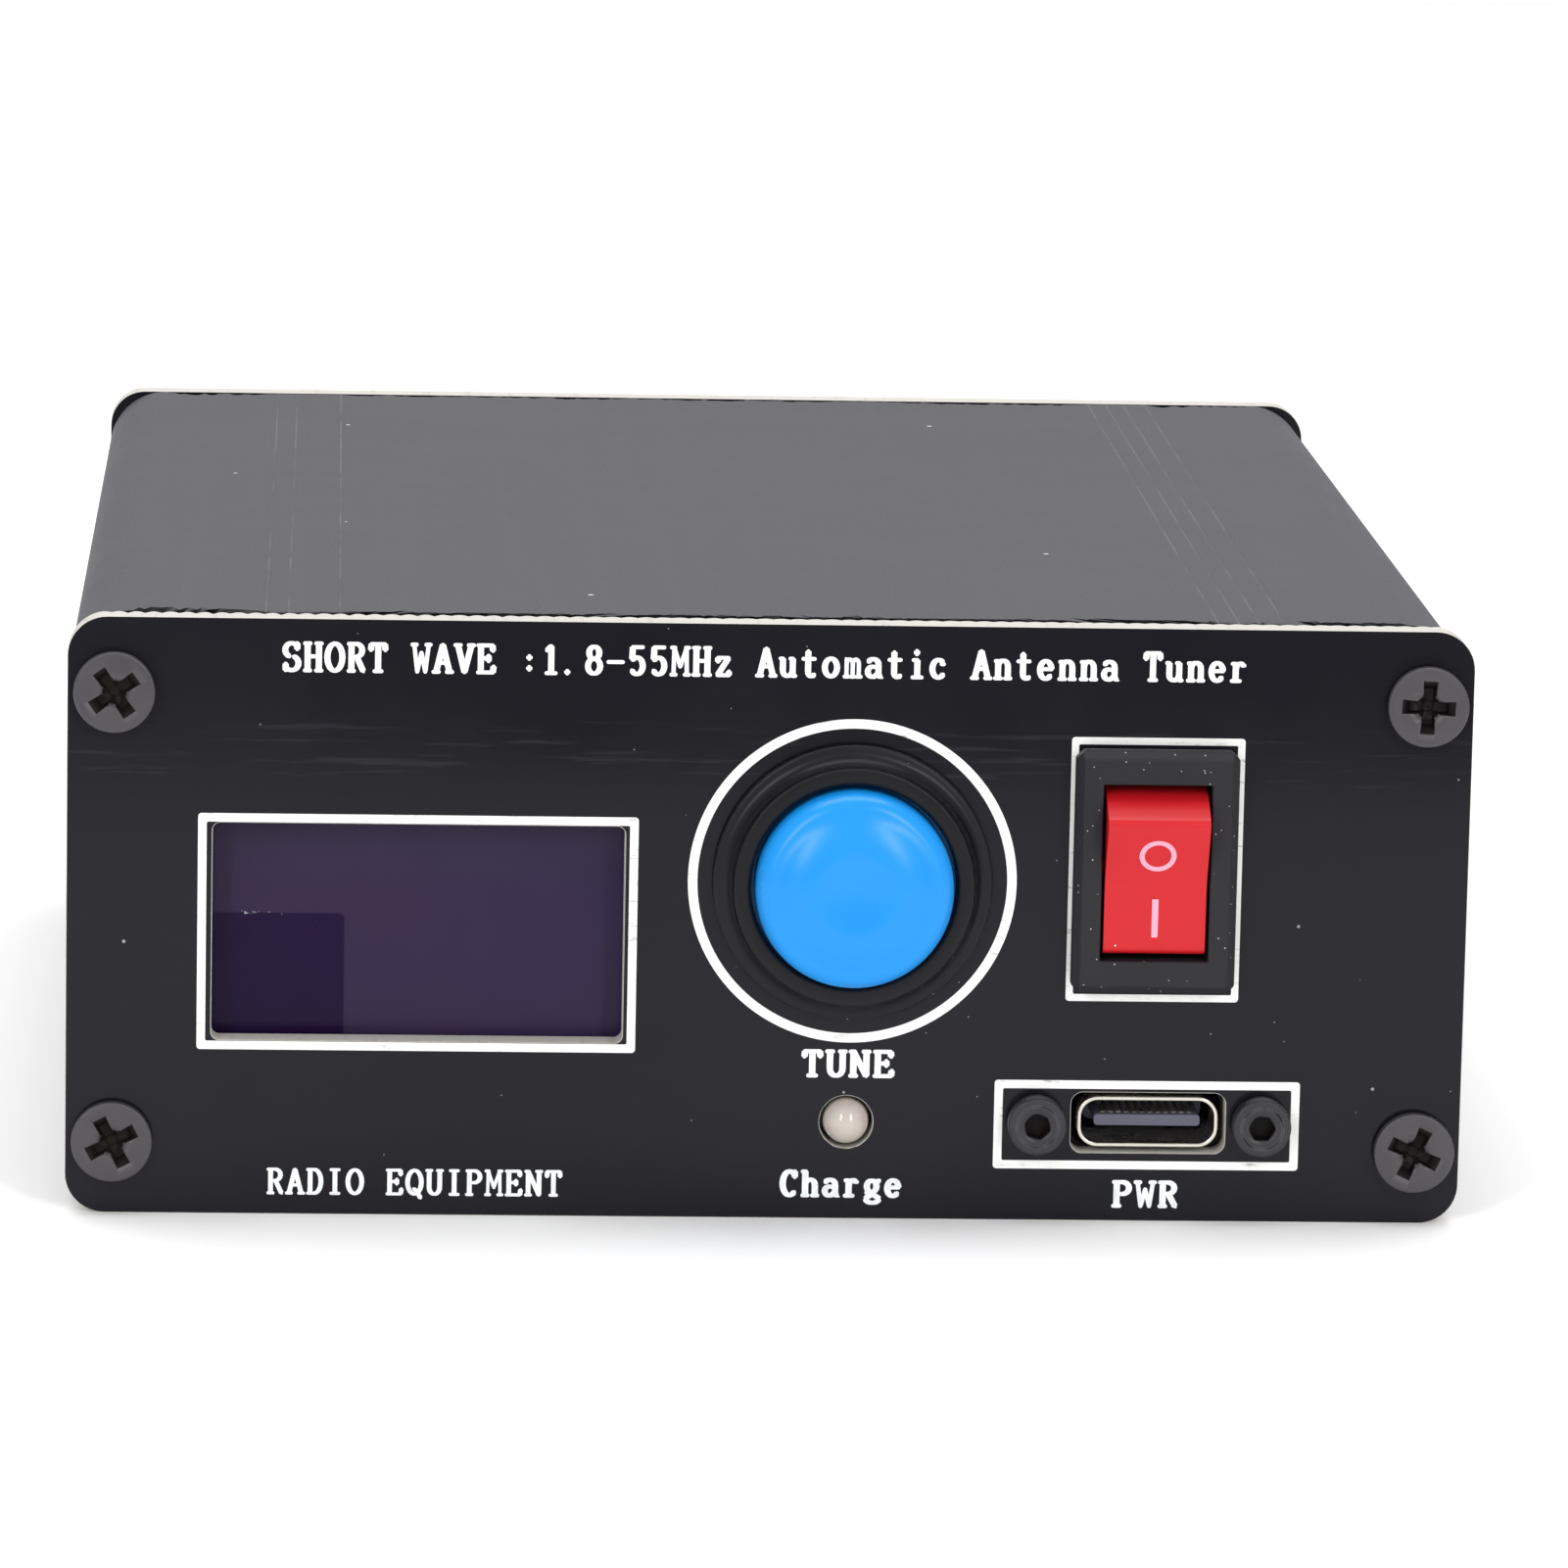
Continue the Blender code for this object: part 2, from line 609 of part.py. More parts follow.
def cap_profile():
    """The blue cap: a round-edged crown with a shallow dimple, a retaining flange and a stem."""
    crown = CAP_PROUD + CAP_CROWN
    profile = []
    for step in range(4):
        share = step / 4
        profile.append((DIMPLE_R * share, crown - DIMPLE_DEPTH * (1 - share**2)))
    profile.append((DIMPLE_R, crown))
    edge = arc(CAP_R - CAP_EDGE, CAP_PROUD - CAP_EDGE, CAP_EDGE, 90.0, 0.0, 4)
    flange_top = BEZEL_HEIGHT - BEZEL_LIP - SEAT
    flange_low = flange_top - CAP_FLANGE_THICK
    return profile + edge + [
        (CAP_R, flange_top),
        (CAP_R + CAP_FLANGE, flange_top),
        (CAP_R + CAP_FLANGE, flange_low),
        (STEM_R, flange_low),
        (STEM_R, flange_low - STEM_LENGTH),
        (0.0, flange_low - STEM_LENGTH),
    ]


def housing_profile():
    lip_low = BEZEL_HEIGHT - BEZEL_LIP
    return [
        (BEZEL_FACE_R, BEZEL_HEIGHT),
        (BEZEL_BASE_R, SEAT + BEZEL_FOOT),
        (BEZEL_BASE_R, SEAT),
        (BUTTON_BARREL_R, SEAT),
        (BUTTON_BARREL_R, -BUTTON_BARREL_DEPTH),
        (BUTTON_INNER_R, -BUTTON_BARREL_DEPTH),
        (BUTTON_INNER_R, lip_low),
        (BUTTON_BORE_R, lip_low),
        (BUTTON_BORE_R, BEZEL_HEIGHT),
    ]


def base_profile(stem_low):
    radius = BUTTON_INNER_R - SEAT
    bottom = -(BUTTON_BARREL_DEPTH + BUTTON_BASE_OUT)
    well = stem_low - BUTTON_TRAVEL - STEM_END_ROOM
    return [
        (0.0, well),
        (STEM_R + SEAT, well),
        (STEM_R + SEAT, -BUTTON_BASE_TOP),
        (radius, -BUTTON_BASE_TOP),
        (radius, bottom),
        (0.0, bottom),
    ]


def spring_between(name, low, high, radius, spot, surface):
    """A coil along local Z, as a round-section wire on straight steps."""
    curve = bpy.data.curves.new(name, "CURVE")
    curve.dimensions = "3D"
    curve.bevel_depth = SPRING_WIRE_R
    curve.bevel_resolution = 2
    curve.use_fill_caps = True
    count = SPRING_TURNS * SPRING_POINTS_PER_TURN
    spline = curve.splines.new("POLY")
    spline.points.add(count)
    start = low + SPRING_WIRE_R
    rise = high - low - 2 * SPRING_WIRE_R
    for step, point in enumerate(spline.points):
        angle = 2 * math.pi * step / SPRING_POINTS_PER_TURN
        across, up = radius * math.cos(angle), radius * math.sin(angle)
        point.co = (across, up, start + rise * step / count, 1.0)
    return place(bpy.data.objects.new(name, curve), spot, TO_FRONT, surface)


def make_tune_button():
    spot = (BUTTON_X, FRONT_FACE, BUTTON_Z)
    profile = cap_profile()
    stem_low = profile[-1][1]
    flange_low = profile[-3][1]
    turned("tune_button_cap", profile, spot, TO_FRONT, BLUE_CAP)
    turned("tune_button_housing", housing_profile(), spot, TO_FRONT, BLACK_NYLON, closed=True)
    base = turned("tune_button_base", base_profile(stem_low), spot, TO_FRONT, BLACK_NYLON)
    for number, side in enumerate((-1, 1), start=1):
        across = BUTTON_X + side * BUTTON_TAB_SPACING / 2
        depth = BUTTON_BARREL_DEPTH + BUTTON_BASE_OUT
        pocket = (TAB_THICK + 2 * SEAT, 2 * (TAB_IN + SEAT), TAB_WIDTH + 2 * SEAT)
        cut(base, box(f"tune_tab_pocket_{number}", pocket, (across, behind(depth), BUTTON_Z)))
        tab = (TAB_THICK, TAB_IN + TAB_OUT, TAB_WIDTH)
        middle = depth + (TAB_OUT - TAB_IN) / 2
        box(f"tune_terminal_{number}", tab, (across, behind(middle), BUTTON_Z), TINNED_BRASS)

    coil_r = (STEM_R + CAP_R) / 2 + SPRING_OFFSET
    low, high = -BUTTON_BASE_TOP + SEAT, flange_low - SEAT
    spring_between("tune_button_spring", low, high, coil_r, spot, SPRING_STEEL)

    nut = [hexagon(BUTTON_NUT_FLATS), circle(0.0, 0.0, BUTTON_BARREL_R + SEAT)]
    depth = PANEL_THICK + SEAT + BUTTON_NUT_THICK / 2
    spot = (BUTTON_X, behind(depth), BUTTON_Z)
    plate("tune_button_nut", nut, BUTTON_NUT_THICK, spot, TO_FRONT, NICKEL)


# -------------------------------------------------------- power switch


def rocker_outline():
    """The rocker seen from the side: two crests, a hollow between them and a round back."""
    crest_r = ROCKER_R + ROCKER_CREST_OUT
    crest_out = crest_r * math.cos(ROCKER_CREST)
    crest_up = crest_r * math.sin(ROCKER_CREST)
    shoulder = math.degrees(ROCKER_SHOULDER)
    back = math.degrees(math.acos(ROCKER_BACK / ROCKER_R))
    lower = arc(0.0, 0.0, ROCKER_R, 180.0 + shoulder, 360.0 - back, 8)
    upper = arc(0.0, 0.0, ROCKER_R, back, 180.0 - shoulder, 8)
    face = [(-crest_out, crest_up), (ROCKER_HOLLOW - crest_out, 0.0), (-crest_out, -crest_up)]
    return lower + upper + face


def switch_body_outline():
    """The housing seen from the side, behind its bezel, with a snap wing above and below."""
    half = SWITCH_BODY_Z / 2
    front = -(SWITCH_BEZEL_PROUD - SWITCH_BEZEL_CHAMFER)
    catch = PANEL_THICK + SEAT
    upper = [
        (front, half),
        (catch, half),
        (catch, half + SNAP_WING),
        (catch + SNAP_LENGTH, half - SWITCH_DRAFT),
        (SWITCH_DEPTH, half - SWITCH_DRAFT),
    ]
    lower = [(depth, -up) for depth, up in reversed(upper)]
    return upper + lower


def make_switch_housing():
    spot = (SWITCH_X, FRONT_FACE, SWITCH_Z)
    outline = switch_body_outline()
    housing = plate(
        "power_switch_housing", [outline], SWITCH_BODY_X, spot, TO_SIDE, BLACK_NYLON
    )
    bezel_thick = SWITCH_BEZEL_PROUD - SEAT
    bezel = (SWITCH_BEZEL_WIDTH, bezel_thick, SWITCH_BEZEL_HEIGHT)
    centre = (SWITCH_X, behind(-SEAT - bezel_thick / 2), SWITCH_Z)
    weld(housing, box("switch_bezel", bezel, centre, bevel=SWITCH_BEZEL_CHAMFER))

    pocket_depth = SWITCH_DEPTH - SWITCH_FLOOR + SWITCH_BEZEL_PROUD
    pocket = (SWITCH_OPENING_X, 2 * pocket_depth, SWITCH_OPENING_Z)
    centre = (SWITCH_X, behind(-SWITCH_BEZEL_PROUD), SWITCH_Z)
    cut(housing, box("switch_pocket", pocket, centre))

    centre = (SWITCH_X, behind(ROCKER_PIVOT_DEPTH), SWITCH_Z)
    socket_r = ROCKER_PIN_R + ROCKER_PIN_CLEARANCE
    through = 2 * SWITCH_BODY_X
    cut(housing, cylinder("rocker_pin_sockets", socket_r, through, centre, turn=TO_SIDE))
    return housing


def make_rocker():
    pivot = (SWITCH_X, behind(ROCKER_PIVOT_DEPTH), SWITCH_Z)
    rest = Matrix.Rotation(ROCKER_TILT, 4, "X")
    rocker = plate(
        "power_switch_rocker", [rocker_outline()], ROCKER_WIDTH, pivot, rest @ TO_SIDE, RED_ROCKER
    )
    pins = ROCKER_WIDTH + 2 * ROCKER_PIN_OUT
    weld(rocker, cylinder("rocker_pins", ROCKER_PIN_R, pins, pivot, turn=TO_SIDE))
    start = ROCKER_BACK - PLUNGER_ROOT
    length = PLUNGER_REACH - start
    middle = rest @ Matrix.Translation((0, start + length / 2, 0))
    centre = (Matrix.Translation(pivot) @ middle).to_translation()
    weld(rocker, cylinder("rocker_plunger", PLUNGER_R, length, centre, turn=rest @ TO_FRONT))


def make_switch_contacts(housing):
    pivot_y = behind(ARM_PIVOT_DEPTH)
    tilt = Matrix.Rotation(-ARM_TILT, 4, "X")
    arm = (ARM_WIDTH, ARM_THICK, ARM_LENGTH)
    box("switch_contact_arm", arm, (SWITCH_X, pivot_y, SWITCH_Z), TINNED_BRASS, tilt)

    closed = ARM_PIVOT_DEPTH + CONTACT_OFFSET * math.sin(ARM_TILT) + ARM_THICK / 2 + SEAT
    starts = (ARM_PIVOT_DEPTH + ARM_THICK / 2 + SEAT, closed)
    heights = (SWITCH_Z, SWITCH_Z + CONTACT_OFFSET)
    end = SWITCH_DEPTH + TAB_OUT
    for number, (start, up) in enumerate(zip(starts, heights), start=1):
        size = (TAB_WIDTH, end - start, TAB_THICK)
        box(
            f"power_terminal_{number}",
            size,
            (SWITCH_X, behind((start + end) / 2), up),
            TINNED_BRASS,
        )
        slot = (TAB_WIDTH + 2 * SEAT, 3 * SWITCH_FLOOR, TAB_THICK + 2 * SEAT)
        cut(housing, box(f"power_tab_slot_{number}", slot, (SWITCH_X, behind(SWITCH_DEPTH), up)))


def make_power_switch():
    housing = make_switch_housing()
    make_rocker()
    make_switch_contacts(housing)


# ---------------------------------------------------- charging corner


def make_usb_socket():
    outer = rounded_rectangle(0.0, 0.0, USB_WIDTH, USB_HEIGHT, USB_CORNER, 4)
    opening = (USB_WIDTH - 2 * USB_WALL, USB_HEIGHT - 2 * USB_WALL)
    inner = rounded_rectangle(0.0, 0.0, *opening, USB_CORNER - USB_WALL, 4)
    centre = (USB_X, behind(USB_RECESS + USB_LENGTH / 2), USB_Z)
    plate("usb_socket_shell", [outer, inner], USB_LENGTH, centre, TO_FRONT, NICKEL)

    end = USB_RECESS + USB_LENGTH
    tongue_length = end - TONGUE_RECESS
    tongue = (TONGUE_WIDTH, tongue_length, TONGUE_THICK)
    centre = (USB_X, behind((TONGUE_RECESS + end) / 2), USB_Z)
    made = box("usb_socket_tongue", tongue, centre, BLACK_NYLON)
    block = [rounded_rectangle(0.0, 0.0, opening[0] - 2 * SEAT, opening[1] - 2 * SEAT, SEAT, 2)]
    centre = (USB_X, behind(end - TONGUE_ROOT / 2), USB_Z)
    weld(made, plate("tongue_root", block, TONGUE_ROOT, centre, TO_FRONT))

    width = USB_SCREW_SPACING + 2 * CARRIER_MARGIN
    height = USB_HEIGHT + 2 * SEAT + 2 * CARRIER_WALL
    gap = (USB_WIDTH + 2 * SEAT, USB_HEIGHT + 2 * SEAT)
    loops = [
        rounded_rectangle(0.0, 0.0, width, height, CARRIER_CORNER, 2),
        rounded_rectangle(0.0, 0.0, *gap, USB_CORNER, 4),
    ]
    hole_r = USB_SCREW_SHANK_R + SEAT
    for side in (-1, 1):
        loops.append(circle(side * USB_SCREW_SPACING / 2, 0.0, hole_r, SMALL_STEPS))
    centre = (USB_X, behind(PANEL_THICK + SEAT + CARRIER_DEPTH / 2), USB_Z)
    plate("usb_carrier", loops, CARRIER_DEPTH, centre, TO_FRONT, BLACK_NYLON)
    for number, side in enumerate((-1, 1), start=1):
        spot = (USB_X + side * USB_SCREW_SPACING / 2, FRONT_FACE, USB_Z)
        socket_screw(f"usb_screw_{number}", spot)


def socket_screw(name, spot):
    """A cap screw with a hexagon socket."""
    top = SEAT + USB_SCREW_HEAD_HEIGHT
    profile = [
        (0.0, top),
        (USB_SCREW_HEAD_R - SCREW_RIM, top),
        (USB_SCREW_HEAD_R, top - SCREW_RIM),
        (USB_SCREW_HEAD_R, SEAT),
        (USB_SCREW_SHANK_R, SEAT),
        (USB_SCREW_SHANK_R, -USB_SCREW_LENGTH),
        (0.0, -USB_SCREW_LENGTH),
    ]
    screw = turned(name, profile, spot, TO_FRONT, SCREW_BLACK, SMALL_STEPS)
    centre = (spot[0], spot[1] - top, spot[2])
    cut(screw, plate(name + "_socket", [hexagon(HEX_FLATS)], 2 * HEX_DEPTH, centre, TO_FRONT))


def make_charge_led():
    """A milky round lens with a flange, and the two legs that it stands on."""
    dome = arc(0.0, LED_PROUD - LED_R, LED_R, 90.0, 0.0, 5)
    bottom = LED_PROUD - LED_BODY
    profile = [(max(across, 0.0), up) for across, up in dome]
    profile[0] = (0.0, LED_PROUD)
    profile += [
        (LED_R, bottom + LED_FLANGE_THICK),
        (LED_R + LED_FLANGE, bottom + LED_FLANGE_THICK),
        (LED_R + LED_FLANGE, bottom),
        (0.0, bottom),
    ]
    led = turned("charge_led", profile, (LED_X, FRONT_FACE, LED_Z), TO_FRONT, MILKY_LENS, SMALL_STEPS + 4)
    for number, side in enumerate((-1, 1), start=1):
        leg = (LED_LEG, LED_LEG_LENGTH, LED_LEG)
        across = LED_X + side * PIN_PITCH / 2
        middle = behind(-bottom + LED_LEG_LENGTH / 2 - LED_LEG_ROOT)
        weld(led, box(f"led_leg_{number}", leg, (across, middle, LED_Z)))


def make_charger():
    left = LED_X - CHARGER_BOARD_MARGIN
    right = USB_X + USB_SCREW_SPACING / 2 + CARRIER_MARGIN
    front = PANEL_THICK + CARRIER_DEPTH + 2 * SEAT + CHARGER_BOARD_GAP
    size = (right - left, CHARGER_BOARD_LENGTH, CHARGER_BOARD_THICK)
    centre = (
        (left + right) / 2,
        behind(front + CHARGER_BOARD_LENGTH / 2),
        CHARGER_BOARD_Z + CHARGER_BOARD_THICK / 2,
    )
    box("charger_board", size, centre, GREEN_BOARD)
    up = CASE_WALL + SEAT + BATTERY_SIZE[2] / 2
    box("battery", BATTERY_SIZE, (0, BATTERY_Y, up), FOIL, bevel=BATTERY_EDGE)


# -------------------------------------------------------- main circuit


def make_main_board():
    width = CASE_WIDTH - 2 * CASE_WALL - 2 * SEAT
    length = CASE_LENGTH - 2 * BOARD_END_GAP
    centre = (0, 0, BOARD_HEIGHT + BOARD_THICK / 2)
    box("main_board", (width, length, BOARD_THICK), centre, GREEN_BOARD)


def on_board(size, across, along):
    """Centre of a piece that stands on the main board."""
    return (across, along, BOARD_TOP + SEAT + size[2] / 2)


def make_relays():
    for row, along in zip("lc", RELAY_ROWS_Y):
        for number in range(RELAYS_PER_ROW):
            across = (number - (RELAYS_PER_ROW - 1) / 2) * RELAY_PITCH_X
            centre = on_board(RELAY_SIZE, across, along)
            box(f"relay_{row}{number + 1}", RELAY_SIZE, centre, RELAY_PLASTIC, bevel=RELAY_EDGE)


def make_inductors():
    up = BOARD_TOP + SEAT + RING_R + RING_TUBE_R
    for number, across in enumerate(RING_X, start=1):
        section = circle(RING_R, 0.0, RING_TUBE_R, 10)
        profile = list(reversed(section))
        spot = (across, RING_Y, up)
        name = f"inductor_{number}"
        turned(name, profile, spot, TO_FRONT, RING_IRON, SMALL_STEPS + 8, closed=True)


def make_coupler_and_chip():
    width, height = COUPLER_SIZE
    loops = [rounded_rectangle(0.0, 0.0, width, height, COUPLER_CORNER, 3)]
    for side in (-1, 1):
        loops.append(circle(side * width / 4, 0.0, COUPLER_HOLE_R, SMALL_STEPS))
    along = CASE_LENGTH / 2 - COUPLER_REAR_GAP
    centre = (0, along, BOARD_TOP + SEAT + height / 2)
    plate("coupler_core", loops, COUPLER_LENGTH, centre, TO_FRONT, FERRITE)
    along = CHIP_FRONT_GAP - CASE_LENGTH / 2
    box("microcontroller", CHIP_SIZE, on_board(CHIP_SIZE, CHIP_X, along), CHIP_EPOXY)


# ------------------------------------------------------ coaxial sockets


def socket_profiles():
    flange_top = -(PANEL_THICK + SEAT)
    flange_low = flange_top - SOCKET_FLANGE_THICK
    step = INSULATOR_STEP
    insulator_low = flange_low - INSULATOR_BACK
    collar_top = SOCKET_PROUD - COLLAR_RECESS
    contact_top = SOCKET_PROUD - CONTACT_RECESS
    shell = [
        (SOCKET_R, SOCKET_PROUD),
        (SOCKET_R, flange_top),
        (SOCKET_FLANGE_R, flange_top),
        (SOCKET_FLANGE_R, flange_low),
        (INSULATOR_R + SEAT, flange_low),
        (INSULATOR_R + SEAT, step),
        (SOCKET_BORE_R, step),
        (SOCKET_BORE_R, SOCKET_PROUD),
    ]
    disc_low = step + SEAT
    insulator = [
        (INSULATOR_R, collar_top),
        (INSULATOR_R, disc_low + INSULATOR_DISC),
        (SOCKET_BORE_R - SEAT, disc_low + INSULATOR_DISC),
        (SOCKET_BORE_R - SEAT, disc_low),
        (INSULATOR_R, disc_low),
        (INSULATOR_R, insulator_low),
        (CONTACT_R + SEAT, insulator_low),
        (CONTACT_R + SEAT, collar_top),
    ]
    tail_top = insulator_low - SEAT
    well = contact_top - CONTACT_DEPTH
    contact = [
        (0.0, well),
        (CONTACT_BORE_R, well),
        (CONTACT_BORE_R, contact_top),
        (CONTACT_R, contact_top),
        (CONTACT_R, tail_top),
        (TAIL_R, tail_top),
        (TAIL_R, tail_top - TAIL_LENGTH),
        (0.0, tail_top - TAIL_LENGTH),
    ]
    return shell, insulator, contact


def make_coaxial_socket(name, across):
    spot = (across, REAR_FACE, SOCKET_Z)
    shell, insulator, contact = socket_profiles()
    turned(f"{name}_shell", shell, spot, TO_REAR, NICKEL, closed=True)
    turned(f"{name}_insulator", insulator, spot, TO_REAR, WHITE_INSULATOR, closed=True)
    turned(f"{name}_contact", contact, spot, TO_REAR, TINNED_BRASS, SMALL_STEPS)
    hole_r = SOCKET_R + SEAT
    nut = [hexagon(2 * (hole_r + SOCKET_NUT_WALL)), circle(0.0, 0.0, hole_r)]
    spot = (across, REAR_FACE + SEAT + SOCKET_NUT_THICK / 2, SOCKET_Z)
    plate(f"{name}_nut", nut, SOCKET_NUT_THICK, spot, TO_REAR, NICKEL)


def main():
    make_case()
    make_front_panel()
    make_rear_panel()
    make_panel_screws()
    make_display()
    make_tune_button()
    make_power_switch()
    make_usb_socket()
    make_charge_led()
    make_charger()
    make_main_board()
    make_relays()
    make_inductors()
    make_coupler_and_chip()
    make_coaxial_socket("radio_socket", SOCKET_X)
    make_coaxial_socket("antenna_socket", -SOCKET_X)


main()
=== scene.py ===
"""Looks of the antenna tuner: finished pieces, surfaces, studio and camera."""

import json
import math
import random

import bmesh
import bpy
from mathutils import Matrix, Vector


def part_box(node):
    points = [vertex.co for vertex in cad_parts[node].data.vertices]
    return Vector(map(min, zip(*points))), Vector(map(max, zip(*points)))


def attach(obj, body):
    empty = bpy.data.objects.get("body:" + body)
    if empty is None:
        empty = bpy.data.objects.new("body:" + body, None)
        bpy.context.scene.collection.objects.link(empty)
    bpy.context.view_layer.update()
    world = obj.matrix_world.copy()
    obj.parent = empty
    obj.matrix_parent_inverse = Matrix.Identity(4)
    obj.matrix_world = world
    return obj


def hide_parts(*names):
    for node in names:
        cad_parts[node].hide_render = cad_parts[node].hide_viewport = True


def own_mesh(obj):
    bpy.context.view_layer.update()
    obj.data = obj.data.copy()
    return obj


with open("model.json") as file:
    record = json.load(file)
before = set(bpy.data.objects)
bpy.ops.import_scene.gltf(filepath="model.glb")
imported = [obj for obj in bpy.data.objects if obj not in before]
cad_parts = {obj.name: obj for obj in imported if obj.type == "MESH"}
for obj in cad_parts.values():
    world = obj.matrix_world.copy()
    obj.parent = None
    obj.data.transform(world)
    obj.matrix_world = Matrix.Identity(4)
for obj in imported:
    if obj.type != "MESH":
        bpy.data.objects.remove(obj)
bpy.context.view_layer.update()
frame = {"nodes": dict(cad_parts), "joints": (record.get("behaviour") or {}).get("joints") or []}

MM = 0.001
TURN = 2 * math.pi

# ------------------------------------------------------------ places

PANEL_LOW, PANEL_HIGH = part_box("front_panel")
REAR_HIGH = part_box("rear_panel")[1]
SHELL_LOW, SHELL_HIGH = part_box("lower_shell")
WIDTH = PANEL_HIGH.x - PANEL_LOW.x
HEIGHT = PANEL_HIGH.z - PANEL_LOW.z
PANEL_THICK = PANEL_HIGH.y - PANEL_LOW.y
SEAT = 0.3 * MM

IN_PLACE = Matrix.Identity(4)
# Local +Z carried out of the front panel, out of the rear panel, and along +X
ON_FRONT = Matrix.Translation((0, PANEL_LOW.y, 0)) @ Matrix.Rotation(math.pi / 2, 4, "X")
ON_REAR = (
    Matrix.Translation((0, REAR_HIGH.y, 0))
    @ Matrix.Rotation(math.pi, 4, "Z")
    @ Matrix.Rotation(math.pi / 2, 4, "X")
)
TO_SIDE = Matrix.Rotation(math.pi / 2, 4, "Z") @ Matrix.Rotation(math.pi / 2, 4, "X")


def middle(node):
    low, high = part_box(node)
    return (low + high) / 2


def size(node):
    low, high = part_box(node)
    return high - low


def joint(name):
    return next(found for found in frame["joints"] if found["name"] == name)


# ---------------------------------------------------------- outlines


def arc(across, up, radius, start, end, steps):
    """Points on an arc, its angles in degrees."""
    points = []
    for step in range(steps + 1):
        angle = math.radians(start + (end - start) * step / steps)
        points.append((across + radius * math.cos(angle), up + radius * math.sin(angle)))
    return points


def circle(across, up, radius, steps=64):
    return arc(across, up, radius, 0.0, 360.0, steps)[:-1]


def rounded_rectangle(across, up, width, height, radius, steps=8):
    half_width = width / 2 - radius
    half_height = height / 2 - radius
    corners = ((1, 1, 0.0), (-1, 1, 90.0), (-1, -1, 180.0), (1, -1, 270.0))
    points = []
    for side, end, start in corners:
        spot = (across + side * half_width, up + end * half_height)
        points += arc(*spot, radius, start, start + 90.0, steps)
    return points


def hexagon(across, up, flats):
    return arc(across, up, flats / math.sqrt(3), 0.0, 360.0, 6)[:-1]


# ------------------------------------------------------------ meshes


def mesh_from(shape, name, matrix=IN_PLACE):
    """A smooth-shaded mesh object at the origin, its place in its mesh."""
    bmesh.ops.recalc_face_normals(shape, faces=shape.faces)
    mesh = bpy.data.meshes.new(name)
    shape.to_mesh(mesh)
    shape.free()
    mesh.transform(matrix)
    mesh.shade_smooth()
    mesh.set_sharp_from_angle(angle=math.radians(32))
    thing = bpy.data.objects.new(name, mesh)
    bpy.context.scene.collection.objects.link(thing)
    return thing


def add_slab(shape, loops, low, high):
    """A closed plate from outlines, the first with the others as its holes."""
    caps = ([], [])
    for loop in loops:
        below = [shape.verts.new((u, v, low)) for u, v in loop]
        above = [shape.verts.new((u, v, high)) for u, v in loop]
        for i in range(len(loop)):
            shape.faces.new((below[i - 1], below[i], above[i], above[i - 1]))
            caps[0].append(shape.edges.get((below[i - 1], below[i])))
            caps[1].append(shape.edges.get((above[i - 1], above[i])))
    for edges in caps:
        bmesh.ops.triangle_fill(shape, edges=edges, use_beauty=True)


def slab(name, loops, low, high, matrix=IN_PLACE):
    shape = bmesh.new()
    add_slab(shape, loops, low, high)
    return mesh_from(shape, name, matrix)


def add_lathe(shape, profile, steps, closed, wave=None):
    """Turn (radius, height) points about local Z; wave may shift a radius by angle and height."""
    rings = []
    for radius, height in profile:
        if radius == 0.0:
            rings.append([shape.verts.new((0.0, 0.0, height))])
            continue
        ring = []
        for step in range(steps):
            angle = TURN * step / steps
            reach = radius + (wave(radius, height, angle) if wave else 0.0)
            ring.append(shape.verts.new((reach * math.cos(angle), reach * math.sin(angle), height)))
        rings.append(ring)
    pairs = list(zip(rings, rings[1:]))
    if closed:
        pairs.append((rings[-1], rings[0]))
    for first, second in pairs:
        for step in range(steps):
            after = (step + 1) % steps
            if len(first) == 1:
                shape.faces.new((first[0], second[step], second[after]))
            elif len(second) == 1:
                shape.faces.new((first[step], second[0], first[after]))
            else:
                shape.faces.new((first[step], second[step], second[after], first[after]))


def lathe(name, profile, matrix=IN_PLACE, steps=64, closed=False, wave=None):
    shape = bmesh.new()
    add_lathe(shape, profile, steps, closed, wave)
    return mesh_from(shape, name, matrix)


def add_block(shape, extent, centre):
    matrix = Matrix.Translation(centre) @ Matrix.Diagonal((*extent, 1.0))
    bmesh.ops.create_cube(shape, size=1.0, matrix=matrix)


def soften(thing, width, segments=2, angle=40.0, material=-1):
    """Round the piece's edges, keeping its flats flat."""
    rounding = thing.modifiers.new("edges", "BEVEL")
    rounding.width = width
    rounding.segments = segments
    rounding.limit_method = "ANGLE"
    rounding.angle_limit = math.radians(angle)
    rounding.harden_normals = True
    rounding.material = material
    return thing


def subtract(thing, tool):
    """Cut a tool out of a piece, then drop the tool."""
    step = thing.modifiers.new("cut", "BOOLEAN")
    step.operation = "DIFFERENCE"
    step.object = tool
    step.solver = "EXACT"
    plain(thing)
    bpy.data.objects.remove(tool)
    return thing


def plain(thing):
    """Bake a piece's modifiers into its mesh."""
    depsgraph = bpy.context.evaluated_depsgraph_get()
    mesh = bpy.data.meshes.new_from_object(thing.evaluated_get(depsgraph))
    thing.modifiers.clear()
    thing.data = mesh
    mesh.name = thing.name
    return thing


def join(name, *things):
    """One piece from several."""
    shape = bmesh.new()
    for thing in things:
        shape.from_mesh(thing.data)
        bpy.data.objects.remove(thing)
    mesh = bpy.data.meshes.new(name)
    shape.to_mesh(mesh)
    shape.free()
    whole = bpy.data.objects.new(name, mesh)
    bpy.context.scene.collection.objects.link(whole)
    return whole


